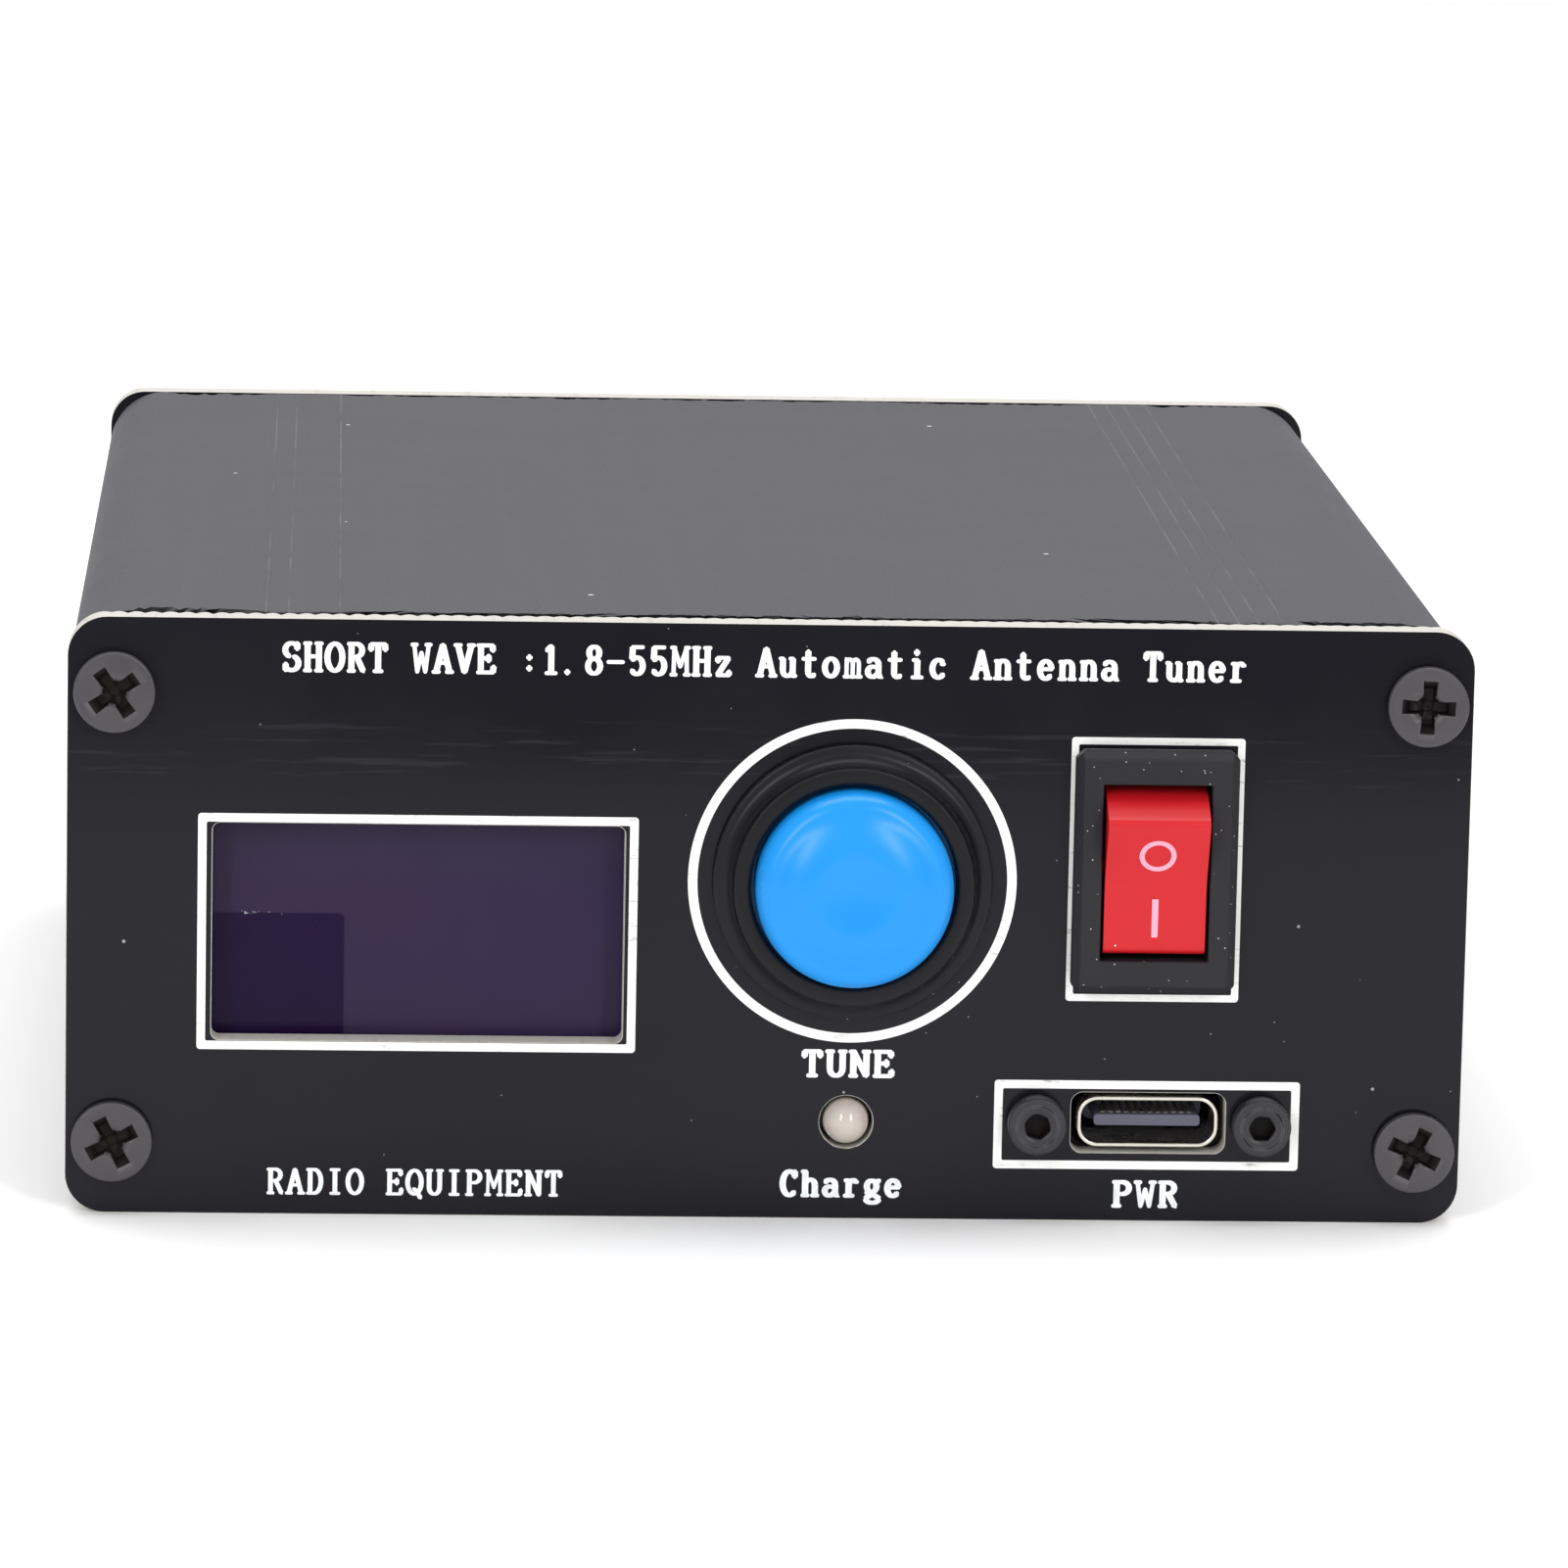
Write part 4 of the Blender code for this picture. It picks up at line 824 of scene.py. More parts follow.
def ragged_cut(shell, outer):
    """Break the cut ends of a shell's flat with the small uneven bites of a saw."""
    rng = random.Random(7)
    bites = {}
    for vertex in shell.data.vertices:
        place = vertex.co
        if abs(place.z - outer) > 0.001 * MM or abs(place.x) > WIDTH / 2 - CASE_CORNER - 0.1 * MM:
            continue
        spot = (round(place.x / MM, 3), place.y > 0)
        if spot not in bites:
            slow = 0.5 + 0.5 * math.sin(0.31 * spot[0] + 1.1) * math.sin(0.13 * spot[0])
            bites[spot] = (0.12 + CUT_BITE * (0.35 + 0.65 * slow) * rng.random() ** 0.6 / MM) * MM
        place.y -= math.copysign(bites[spot], place.y)
    return shell


def make_shells():
    outline = shell_outline()
    mirrored = [(-across, up) for across, up in reversed(outline)]
    length = Matrix.Rotation(math.pi / 2, 4, "X")
    half = (SHELL_HIGH.y - SHELL_LOW.y) / 2
    turned_over = Matrix.Translation((0, 0, HEIGHT)) @ Matrix.Rotation(math.pi, 4, "Y") @ length
    lower = slab("lower_case_shell", [outline], -half, half, length)
    upper = slab("upper_case_shell", [mirrored], -half, half, turned_over)
    ragged_cut(lower, 0.0)
    ragged_cut(upper, HEIGHT)
    hand_over(lower, "case", ANODISED, "black_anodised_aluminium", "lower_shell")
    hand_over(upper, "case", ANODISED, "black_anodised_aluminium", "upper_shell")


# ------------------------------------------------------------ panels

PANEL_CORNER = 2.5 * MM
WINDOW_SIZE = (25.8 * MM, 13.85 * MM)
SWITCH_HOLE = (9.06 * MM, 13.8 * MM)
PORT_SLOT = (9.78 * MM, 3.9 * MM)
BUTTON_HOLE_R = 8.0 * MM
LED_HOLE_R = 1.7 * MM
PORT_SCREW_HOLE_R = 1.2 * MM
SOCKET_HOLE_R = 8.2 * MM
ROUTER_BITE = 0.14 * MM
ROUTER_PITCH = 1.06 * MM
BUTTON = middle("tune_button_cap")
SWITCH = middle("power_switch_housing")
PORT = middle("usb_socket_shell")
LED = middle("charge_led")
PORT_SCREW_X = middle("usb_screw_2").x - PORT.x
SCREW_ROWS_Z = (SCREW_LOW_Z, middle("front_screw_upper_right").z)


def panel_loops():
    outline = rounded_rectangle(0.0, HEIGHT / 2, WIDTH, HEIGHT, PANEL_CORNER, 12)
    straight = WIDTH / 2 - PANEL_CORNER
    count = int(2 * straight / (ROUTER_PITCH / 8))
    along_top = [(straight - 2 * straight * i / count, HEIGHT) for i in range(1, count)]
    outline[13:13] = along_top
    spots = [(side * SCREW_X, up) for side in (-1, 1) for up in SCREW_ROWS_Z]
    return [outline] + [circle(*spot, SHANK_R + SEAT, 24) for spot in spots]



def bitten(panel, back):
    """Small bites left by the router along the back edge of the board's top."""
    top = PANEL_HIGH.z - 0.001 * MM
    for vertex in panel.data.vertices:
        place = vertex.co
        if place.z > top and abs(place.y - back) < 0.001 * MM:
            hump = abs(math.sin(math.pi * place.x / ROUTER_PITCH))
            uneven = 0.75 + 0.25 * math.sin(2.3 * place.x / MM) * math.sin(0.9 * place.x / MM + 1.0)
            fade = 0.45 + 0.55 * min(max((-place.x / MM - 5.0) / 20.0, 0.0), 1.0)
            place.z -= ROUTER_BITE * (1 - hump) * uneven * fade
    return panel


def board_faces(panel):
    """Mask on the two broad faces, bare glass fibre on every edge."""
    panel.data.materials.append(SOLDER_MASK)
    panel.data.materials.append(BOARD_EDGE)
    for face in panel.data.polygons:
        face.material_index = 0 if abs(face.normal.y) > 0.5 else 1
    return soften(panel, 0.04 * MM, segments=1, material=1)


def make_front_panel():
    loops = panel_loops()
    loops.append(rounded_rectangle(WINDOW.x, WINDOW.z, *WINDOW_SIZE, 0.5 * MM, 5))
    loops.append(circle(BUTTON.x, BUTTON.z, BUTTON_HOLE_R))
    loops.append(rounded_rectangle(SWITCH.x, SWITCH.z, *SWITCH_HOLE, SEAT, 3))
    loops.append(rounded_rectangle(PORT.x, PORT.z, *PORT_SLOT, 0.75 * MM, 8))
    loops.append(circle(LED.x, LED.z, LED_HOLE_R, 32))
    for side in (-1, 1):
        loops.append(circle(PORT.x + side * PORT_SCREW_X, PORT.z, PORT_SCREW_HOLE_R, 20))
    panel = slab("front_face_panel", loops, -PANEL_THICK, 0.0, ON_FRONT)
    bitten(panel, PANEL_HIGH.y)
    hand_over(board_faces(panel), "case", None, "black_solder_mask", "front_panel")


def make_rear_panel():
    loops = panel_loops()
    for side in (-1, 1):
        across = side * middle("radio_socket_shell").x
        loops.append(circle(across, HEIGHT / 2, SOCKET_HOLE_R))
    panel = slab("rear_face_panel", loops, -PANEL_THICK, 0.0, ON_REAR)
    hand_over(board_faces(panel), "case", None, "black_solder_mask", "rear_panel")


# -------------------------------------------------- prints and letters

PRINT_HEIGHT = 0.05 * MM
INK_HEIGHT = 0.025 * MM
STROKE_STEP = 0.001 * MM
SHARP_TURN = math.radians(35)
LETTER_WIDTH = 1.24  # a letter's cell over its pitch
CROWDED = "WMm"  # letters with three or more uprights take a finer one
LINE = 0.54 * MM


def frame_loops(across, up, width, height, line):
    outer = rounded_rectangle(across, up, width, height, 0.22 * MM, 4)
    inner = rounded_rectangle(across, up, width - 2 * line, height - 2 * line, 0.1 * MM, 3)
    return [outer, inner]


def make_tin_frames():
    """Bare tinned outlines round the window, the button, the switch and the port."""
    shape = bmesh.new()
    places = [
        frame_loops(WINDOW.x - 0.04 * MM, WINDOW.z, 27.52 * MM, 15.06 * MM, LINE),
        frame_loops(SWITCH.x + 0.12 * MM, SWITCH.z - 0.13 * MM, 10.91 * MM, 16.87 * MM, 0.46 * MM),
        frame_loops(PORT.x - 0.1 * MM, PORT.z - 0.14 * MM, 19.33 * MM, 5.72 * MM, LINE),
        [
            circle(BUTTON.x, BUTTON.z, 10.33 * MM, 128),
            circle(BUTTON.x, BUTTON.z, 9.73 * MM, 128),
        ],
    ]
    for loops in places:
        add_slab(shape, loops, 0.0, PRINT_HEIGHT)
    frames = mesh_from(shape, "tinned_outlines", ON_FRONT)
    soften(frames, 0.03 * MM, segments=2)
    hand_over(frames, "case", TIN, "nickel_plate")


def stroke(*numbers):
    """A pen line through x, y pairs."""
    return list(zip(numbers[::2], numbers[1::2]))


def bowl(across, up, half_width, half_height, start, end, steps=12):
    """A pen line along part of an oval, its angles in degrees."""
    return [
        (
            across + half_width * math.cos(math.radians(start + (end - start) * i / steps)),
            up + half_height * math.sin(math.radians(start + (end - start) * i / steps)),
        )
        for i in range(steps + 1)
    ]


def foot(across, up=0.0, half=0.15):
    """A slab serif."""
    return stroke(across - half, up, across + half, up)


# Letters as pen lines in a cell one cap high and about 0.7 wide
LETTERS = {
    "A": [stroke(0.1, 0, 0.34, 1, 0.6, 0), stroke(0.19, 0.34, 0.5, 0.34), foot(0.1, 0, 0.1),
          foot(0.6, 0, 0.1)],
    "C": [bowl(0.36, 0.5, 0.27, 0.5, 48, 312, 16), stroke(0.56, 1, 0.56, 0.76)],
    "D": [stroke(0.15, 0, 0.15, 1), stroke(0.05, 1, 0.32, 1), bowl(0.32, 0.5, 0.27, 0.5, 90, -90, 12),
          stroke(0.32, 0, 0.05, 0)],
    "E": [stroke(0.15, 0, 0.15, 1), stroke(0.05, 1, 0.58, 1, 0.6, 0.8), stroke(0.15, 0.52, 0.44, 0.52),
          stroke(0.44, 0.62, 0.44, 0.42), stroke(0.05, 0, 0.6, 0, 0.63, 0.22)],
    "H": [stroke(0.14, 0, 0.14, 1), stroke(0.56, 0, 0.56, 1), stroke(0.14, 0.52, 0.56, 0.52),
          foot(0.14, 0, 0.1), foot(0.14, 1, 0.1), foot(0.56, 0, 0.1), foot(0.56, 1, 0.1)],
    "I": [stroke(0.35, 0, 0.35, 1), foot(0.35, 0, 0.16), foot(0.35, 1, 0.16)],
    "M": [stroke(0.1, 0, 0.12, 1, 0.35, 0.3, 0.58, 1, 0.6, 0), foot(0.1, 0, 0.08), foot(0.6, 0, 0.08),
          foot(0.09, 1, 0.06), foot(0.61, 1, 0.06)],
    "N": [stroke(0.13, 0, 0.13, 1, 0.57, 0, 0.57, 1), foot(0.13, 0, 0.1), foot(0.1, 1, 0.07),
          foot(0.57, 1, 0.1)],
    "O": [bowl(0.35, 0.5, 0.28, 0.5, 0, 360, 22)],
    "Q": [bowl(0.35, 0.5, 0.28, 0.5, 0, 360, 22), stroke(0.32, 0.22, 0.44, 0.12, 0.6, -0.16)],
    "P": [stroke(0.16, 0, 0.16, 1), stroke(0.06, 1, 0.36, 1), bowl(0.36, 0.75, 0.23, 0.25, 90, -90, 8),
          stroke(0.36, 0.5, 0.16, 0.5), foot(0.16, 0, 0.11)],
    "R": [stroke(0.16, 0, 0.16, 1), stroke(0.06, 1, 0.34, 1), bowl(0.34, 0.76, 0.22, 0.24, 90, -90, 8),
          stroke(0.34, 0.52, 0.16, 0.52), stroke(0.36, 0.52, 0.6, 0, 0.66, 0), foot(0.16, 0, 0.1)],
    "S": [bowl(0.35, 0.75, 0.24, 0.25, 40, 250, 10), bowl(0.35, 0.26, 0.26, 0.26, 70, -140, 10),
          stroke(0.56, 1, 0.56, 0.78), stroke(0.13, 0, 0.13, 0.24)],
    "T": [stroke(0.35, 0, 0.35, 1), stroke(0.08, 0.78, 0.1, 1, 0.6, 1, 0.62, 0.78), foot(0.35, 0, 0.13)],
    "U": [stroke(0.14, 1, 0.14, 0.3), bowl(0.355, 0.3, 0.215, 0.3, 180, 360, 12),
          stroke(0.57, 0.3, 0.57, 1), foot(0.14, 1, 0.1), foot(0.57, 1, 0.1)],
    "V": [stroke(0.1, 1, 0.35, 0, 0.6, 1), foot(0.1, 1, 0.1), foot(0.6, 1, 0.1)],
    "W": [stroke(0.08, 1, 0.2, 0, 0.35, 0.7, 0.5, 0, 0.62, 1), foot(0.09, 1, 0.08), foot(0.61, 1, 0.08)],
    "X": [stroke(0.12, 1, 0.58, 0), stroke(0.58, 1, 0.12, 0), foot(0.12, 1, 0.09), foot(0.58, 1, 0.09),
          foot(0.12, 0, 0.09), foot(0.58, 0, 0.09)],
    "a": [bowl(0.32, 0.46, 0.2, 0.2, 150, 0, 8), stroke(0.52, 0.46, 0.52, 0.08, 0.6, 0, 0.66, 0.04),
          bowl(0.3, 0.19, 0.18, 0.19, 70, 330, 12), stroke(0.36, 0.37, 0.52, 0.37)],
    "c": [bowl(0.35, 0.33, 0.23, 0.33, 45, 320, 14), foot(0.51, 0.5, 0.04)],
    "e": [stroke(0.13, 0.36, 0.57, 0.36), bowl(0.35, 0.33, 0.22, 0.33, 5, 320, 16)],
    "g": [bowl(0.33, 0.4, 0.19, 0.24, 0, 360, 16), stroke(0.48, 0.56, 0.62, 0.64),
          stroke(0.2, 0.2, 0.16, 0.06, 0.5, 0.02), bowl(0.36, -0.14, 0.24, 0.15, 75, -255, 14)],
    "h": [stroke(0.16, 0, 0.16, 1), foot(0.12, 1, 0.06), bowl(0.35, 0.44, 0.19, 0.22, 170, 0, 8),
          stroke(0.54, 0.44, 0.54, 0), foot(0.16, 0, 0.1), foot(0.54, 0, 0.1)],
    "i": [stroke(0.22, 0.64, 0.36, 0.64, 0.36, 0), foot(0.36, 0, 0.17), stroke(0.34, 0.86, 0.34, 0.98)],
    "m": [stroke(0.06, 0.64, 0.13, 0.64, 0.13, 0), bowl(0.245, 0.48, 0.115, 0.16, 180, 0, 6),
          stroke(0.36, 0.48, 0.36, 0), bowl(0.475, 0.48, 0.115, 0.16, 180, 0, 6),
          stroke(0.59, 0.48, 0.59, 0), foot(0.13, 0, 0.07), foot(0.36, 0, 0.06), foot(0.59, 0, 0.07)],
    "n": [stroke(0.08, 0.64, 0.17, 0.64, 0.17, 0), bowl(0.355, 0.44, 0.185, 0.22, 180, 0, 8),
          stroke(0.54, 0.44, 0.54, 0), foot(0.17, 0, 0.11), foot(0.54, 0, 0.1)],
    "o": [bowl(0.35, 0.33, 0.23, 0.33, 0, 360, 18)],
    "r": [stroke(0.12, 0.64, 0.24, 0.64, 0.24, 0), bowl(0.42, 0.4, 0.18, 0.25, 180, 60, 6),
          foot(0.25, 0, 0.15), foot(0.52, 0.58, 0.04)],
    "t": [stroke(0.3, 0.92, 0.3, 0.16), bowl(0.43, 0.16, 0.13, 0.16, 180, 320, 6),
          stroke(0.12, 0.64, 0.54, 0.64)],
    "u": [stroke(0.07, 0.64, 0.16, 0.64, 0.16, 0.2), bowl(0.34, 0.2, 0.18, 0.2, 180, 350, 8),
          stroke(0.44, 0.64, 0.53, 0.64, 0.53, 0, 0.63, 0)],
    "z": [stroke(0.15, 0.5, 0.15, 0.64, 0.54, 0.64, 0.14, 0, 0.56, 0, 0.56, 0.14)],
    "0": [bowl(0.35, 0.5, 0.23, 0.5, 0, 360, 20)],
    "1": [stroke(0.2, 0.84, 0.36, 1, 0.36, 0), foot(0.36, 0, 0.17)],
    "5": [stroke(0.55, 1, 0.18, 1, 0.16, 0.56), bowl(0.34, 0.31, 0.22, 0.31, 135, -145, 14)],
    "8": [bowl(0.35, 0.77, 0.19, 0.23, 0, 360, 16), bowl(0.35, 0.28, 0.23, 0.28, 0, 360, 16)],
    ".": [stroke(0.16, 0, 0.16, 0.09)],
    ":": [stroke(0.35, 0.12, 0.35, 0.22), stroke(0.35, 0.52, 0.35, 0.62)],
    "-": [stroke(0.08, 0.44, 0.62, 0.44)],
}


def pen_runs(points):
    """A pen line split wherever it turns a sharp corner."""
    runs = [[points[0]]]
    for before, here, after in zip(points, points[1:], points[2:]):
        runs[-1].append(here)
        one = Vector((here[0] - before[0], here[1] - before[1]))
        two = Vector((after[0] - here[0], after[1] - here[1]))
        if one.length and two.length and one.angle(two) > SHARP_TURN:
            runs.append([here])
    runs[-1].append(points[-1])
    return runs


def add_pen_run(shape, points, thin, thick, height):
    """A flat ribbon with round ends: thick where it runs upright, thin where it runs level."""
    rims = ([], [])
    last = len(points) - 1
    closed = math.dist(points[0], points[-1]) < thin / 2
    for i, (across, up) in enumerate(points):
        before = points[i - 1] if i else (points[-2] if closed else points[0])
        after = points[i + 1] if i < last else (points[1] if closed else points[-1])
        run = Vector((after[0] - before[0], after[1] - before[1])).normalized()
        normal = Vector((-run.y, run.x)) * (thin + (thick - thin) * abs(run.y)) / 2
        for rim, side in zip(rims, (1, -1)):
            rim.append(Vector((across, up)) + normal * side)
    low = [[shape.verts.new((p.x, p.y, 0.0)) for p in rim] for rim in rims]
    high = [[shape.verts.new((p.x, p.y, height)) for p in rim] for rim in rims]
    for i in range(last):
        shape.faces.new((high[0][i], high[1][i], high[1][i + 1], high[0][i + 1]))
        shape.faces.new((low[0][i], low[0][i + 1], low[1][i + 1], low[1][i]))
        shape.faces.new((low[0][i], high[0][i], high[0][i + 1], low[0][i + 1]))
        shape.faces.new((low[1][i], low[1][i + 1], high[1][i + 1], high[1][i]))
    for i in (0, last):
        shape.faces.new((low[0][i], low[1][i], high[1][i], high[0][i]))
        if not closed:
            spot = Matrix.Translation((*points[i], height / 2 - STROKE_STEP / 4))
            bmesh.ops.create_cone(
                shape, cap_ends=True, segments=12, radius1=thin / 2, radius2=thin / 2,
                depth=height - STROKE_STEP / 2, matrix=spot,
            )


def add_text(shape, words, left, base, pitch, cap, weight=1.0):
    """Letters one pitch apart, from a left end and a base line, each run a hair above the last."""
    thin, thick = 0.125 * cap * weight, 0.195 * cap * weight
    rise = cap - thin
    for number, letter in enumerate(words):
        middle_x = left + (number + 0.5) * pitch
        upright = thick * (0.68 if letter in CROWDED else 1.0)
        order = 0
        for line in LETTERS.get(letter, ()):
            points = [
                (middle_x + (across - 0.35) * pitch * LETTER_WIDTH, base + thin / 2 + up * rise)
                for across, up in line
            ]
            for run in pen_runs(points):
                add_pen_run(shape, run, thin, upright, INK_HEIGHT + order * STROKE_STEP)
                order += 1


def make_lettering():
    front = bmesh.new()
    title = "SHORT WAVE :1.8-55MHz Automatic Antenna Tuner"
    add_text(front, title, -30.75 * MM, 34.60 * MM, 1.345 * MM, 1.95 * MM)
    add_text(front, "TUNE", 2.15 * MM, 9.1 * MM, 1.5 * MM, 1.82 * MM, 1.15)
    add_text(front, "Charge", 0.95 * MM, 1.36 * MM, 1.31 * MM, 1.8 * MM, 1.15)
    add_text(front, "PWR", 21.95 * MM, 0.85 * MM, 1.46 * MM, 1.8 * MM, 1.15)
    add_text(front, "RADIO EQUIPMENT", -31.4 * MM, 1.26 * MM, 1.25 * MM, 1.72 * MM, 0.9)
    hand_over(mesh_from(front, "panel_lettering", ON_FRONT), "case", INK, "white_insulator")
    rear = bmesh.new()
    offset = middle("radio_socket_shell").x
    for words, across in (("RADIO", -offset), ("ANTENNA", offset)):
        left = across - len(words) * 0.75 * MM
        letters = words.upper()
        add_text(rear, letters, left, 33.4 * MM, 1.5 * MM, 1.9 * MM, 1.2)
    hand_over(mesh_from(rear, "rear_lettering", ON_REAR), "case", INK, "white_insulator")


# ------------------------------------------------------------ screws


class Growth(Wiring):
    """A geometry node tree with named inputs."""

    def __init__(self, name, **sockets):
        super().__init__(bpy.data.node_groups.new(name, "GeometryNodeTree"))
        for label, kind in sockets.items():
            self.tree.interface.new_socket(
                label.replace("_", " "), in_out="INPUT", socket_type=f"NodeSocket{kind}"
            )
        self.tree.interface.new_socket(
            "Geometry", in_out="OUTPUT", socket_type="NodeSocketGeometry"
        )
        self.given = self.add("NodeGroupInput").outputs

    def step(self, kind, outcome, **values):
        """Add a node, fill its sockets by name and return one of its outputs."""
        node = self.add(kind)
        for name, value in values.items():
            self.feed(node.inputs[name.replace("_", " ")], value)
        return node.outputs[outcome]

    def paint(self, geometry, finish, **values):
        return self.step(
            "GeometryNodeSetMaterial", "Geometry", Geometry=geometry, Material=finish, **values
        )

    def end(self, geometry):
        self.feed(self.add("NodeGroupOutput").inputs["Geometry"], geometry)
        return self.tree


def scatter_tree(name):
    """Geometry nodes that put a part at the corners of a rectangle, each turned by its own amount."""
    g = Growth(
        name, Part="Object", Finish="Material", Recess="Material", Spacing_across="Float",
        Spacing_up="Float", Columns="Int", Rows="Int", Most_turn="Float", Seed="Int",
    )
    given = g.given
    grid = g.step(
        "GeometryNodeMeshGrid", "Mesh", Size_X=given["Spacing across"], Size_Y=given["Spacing up"],
        Vertices_X=given["Columns"], Vertices_Y=given["Rows"],
    )
    part = g.step("GeometryNodeObjectInfo", "Geometry", Object=given["Part"])
    twist = g.add("FunctionNodeRandomValue")
    g.feed(twist.inputs[2], g.math("MULTIPLY", given["Most turn"], -1.0))
    g.feed(twist.inputs[3], given["Most turn"])
    g.feed(twist.inputs["Seed"], given["Seed"])
    angles = g.step("ShaderNodeCombineXYZ", "Vector", Z=twist.outputs[1])
    copies = g.step(
        "GeometryNodeInstanceOnPoints", "Instances", Points=grid, Instance=part, Rotation=angles
    )
    whole = g.step("GeometryNodeRealizeInstances", "Geometry", Geometry=copies)
    painted = g.paint(whole, given["Finish"])
    # Painted shade: faces marked as a driver recess take the Recess material, which is painted shade.
    marked = g.add("GeometryNodeInputNamedAttribute", data_type="BOOLEAN")
    marked.inputs["Name"].default_value = "recess"
    darkened = g.paint(painted, given["Recess"], Selection=marked.outputs["Attribute"])
    return g.end(darkened)


SCATTER = scatter_tree("parts_on_a_grid")


def mark_recess(part, low, high, reach):
    """Mark the faces of a driver recess, between two heights and near the part's axis, for their painted
    shade.
    """
    flags = part.data.attributes.new("recess", "BOOLEAN", "FACE")
    for face, flag in zip(part.data.polygons, flags.data):
        spot = face.center
        flag.value = low < spot.z < high and math.hypot(spot.x, spot.y) < reach
    return part


def run_tree(name, tree, matrix, **values):
    """Run a geometry node tree once and keep its result as a plain mesh piece."""
    holder = bpy.data.objects.new(name, bpy.data.meshes.new(name))
    bpy.context.scene.collection.objects.link(holder)
    step = holder.modifiers.new("build", "NODES")
    step.node_group = tree
    for item in tree.interface.items_tree:
        label = item.name.replace(" ", "_")
        if item.item_type == "SOCKET" and item.in_out == "INPUT" and label in values:
            step[item.identifier] = values[label]
    plain(holder)
    holder.data.transform(matrix)
    return holder


def scatter(name, part, finish, spacing, counts, matrix, most_turn=0.0, seed=0, recess=None):
    """Copies of a part on a grid; the single part is dropped."""
    made = run_tree(
        name,
        SCATTER,
        matrix,
        Part=part,
        Finish=finish,
        Recess=recess or finish,
        Spacing_across=spacing[0],
        Spacing_up=spacing[1],
        Columns=counts[0],
        Rows=counts[1],
        Most_turn=most_turn,
        Seed=seed,
    )
    bpy.data.objects.remove(part)
    return made


SCREW_TOP = PANEL_LOW.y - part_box("front_screw_upper_right")[0].y
SCREW_HEAD_R = size("front_screw_upper_right").x / 2
SCREW_LENGTH = 10.0 * MM


def cross_arm(reach, arm, depth, turn):
    """One arm of a cross recess: wider at its ends than in its middle, narrowing as it goes down."""
    shape = bmesh.new()
    levels = ((SCREW_TOP - depth, 0.66, 0.7), (SCREW_TOP + 0.1 * MM, 1.03, 1.05))
    rings = []
    spin = Matrix.Rotation(turn, 3, "Z")
    for height, longer, wider in levels:
        half, end, waist = reach * longer, arm * wider, arm * wider * 0.78
        corners = [(-half, -end), (0.0, -waist), (half, -end), (half, end), (0.0, waist), (-half, end)]
        rings.append([shape.verts.new(spin @ Vector((*corner, height))) for corner in corners])
    shape.faces.new(rings[0])
    shape.faces.new(rings[1])
    for i in range(6):
        shape.faces.new((rings[0][i - 1], rings[0][i], rings[1][i], rings[1][i - 1]))
    return mesh_from(shape, "cross_arm")


def panel_screw():
    """A flat pan-head screw with a tapered cross recess."""
    rim = 0.14 * MM
    crown = SCREW_TOP - 0.05 * MM
    rounded = arc(SCREW_HEAD_R - rim, crown - rim, rim, 90.0, 0.0, 4)
    profile = [(0.0, SCREW_TOP), (SCREW_HEAD_R * 0.55, SCREW_TOP - 0.01 * MM)] + rounded + [
        (SCREW_HEAD_R, SEAT),
        (SHANK_R, SEAT),
        (SHANK_R, -SCREW_LENGTH + 0.5 * MM),
        (SHANK_R - 0.5 * MM, -SCREW_LENGTH),
        (0.0, -SCREW_LENGTH),
    ]
    screw = lathe("panel_screw", profile, steps=48)
    depth = 0.75 * MM
    for turn in (0.0, math.pi / 2):
        subtract(screw, cross_arm(1.72 * MM, 0.46 * MM, depth, turn))
    hub = [(0.0, SCREW_TOP + 0.1 * MM), (1.02 * MM, SCREW_TOP + 0.1 * MM), (0.74 * MM, SCREW_TOP - 0.3 * MM),
           (0.3 * MM, SCREW_TOP - depth - 0.12 * MM), (0.0, SCREW_TOP - depth - 0.2 * MM)]
    subtract(screw, lathe("hub", hub, steps=24))
    return mark_recess(screw, -1.0 * MM, SCREW_TOP - 0.12 * MM, 1.9 * MM)


def make_panel_screws():
    spacing = (2 * SCREW_X, SCREW_ROWS_Z[1] - SCREW_ROWS_Z[0])
    rise = Matrix.Translation((0, HEIGHT / 2, 0))
    for face, matrix, seed in (("front", ON_FRONT, 49301), ("rear", ON_REAR, 11)):
        screws = scatter(
            f"{face}_panel_screws", panel_screw(), BLACK_STEEL, spacing, (2, 2), matrix @ rise,
            most_turn=math.radians(45), seed=seed, recess=DARK_RECESS,
        )
        nodes = [f"{face}_screw_{row}_{side}" for row in ("lower", "upper") for side in ("left", "right")]
        hand_over(screws, "case", None, "black_zinc", *nodes)


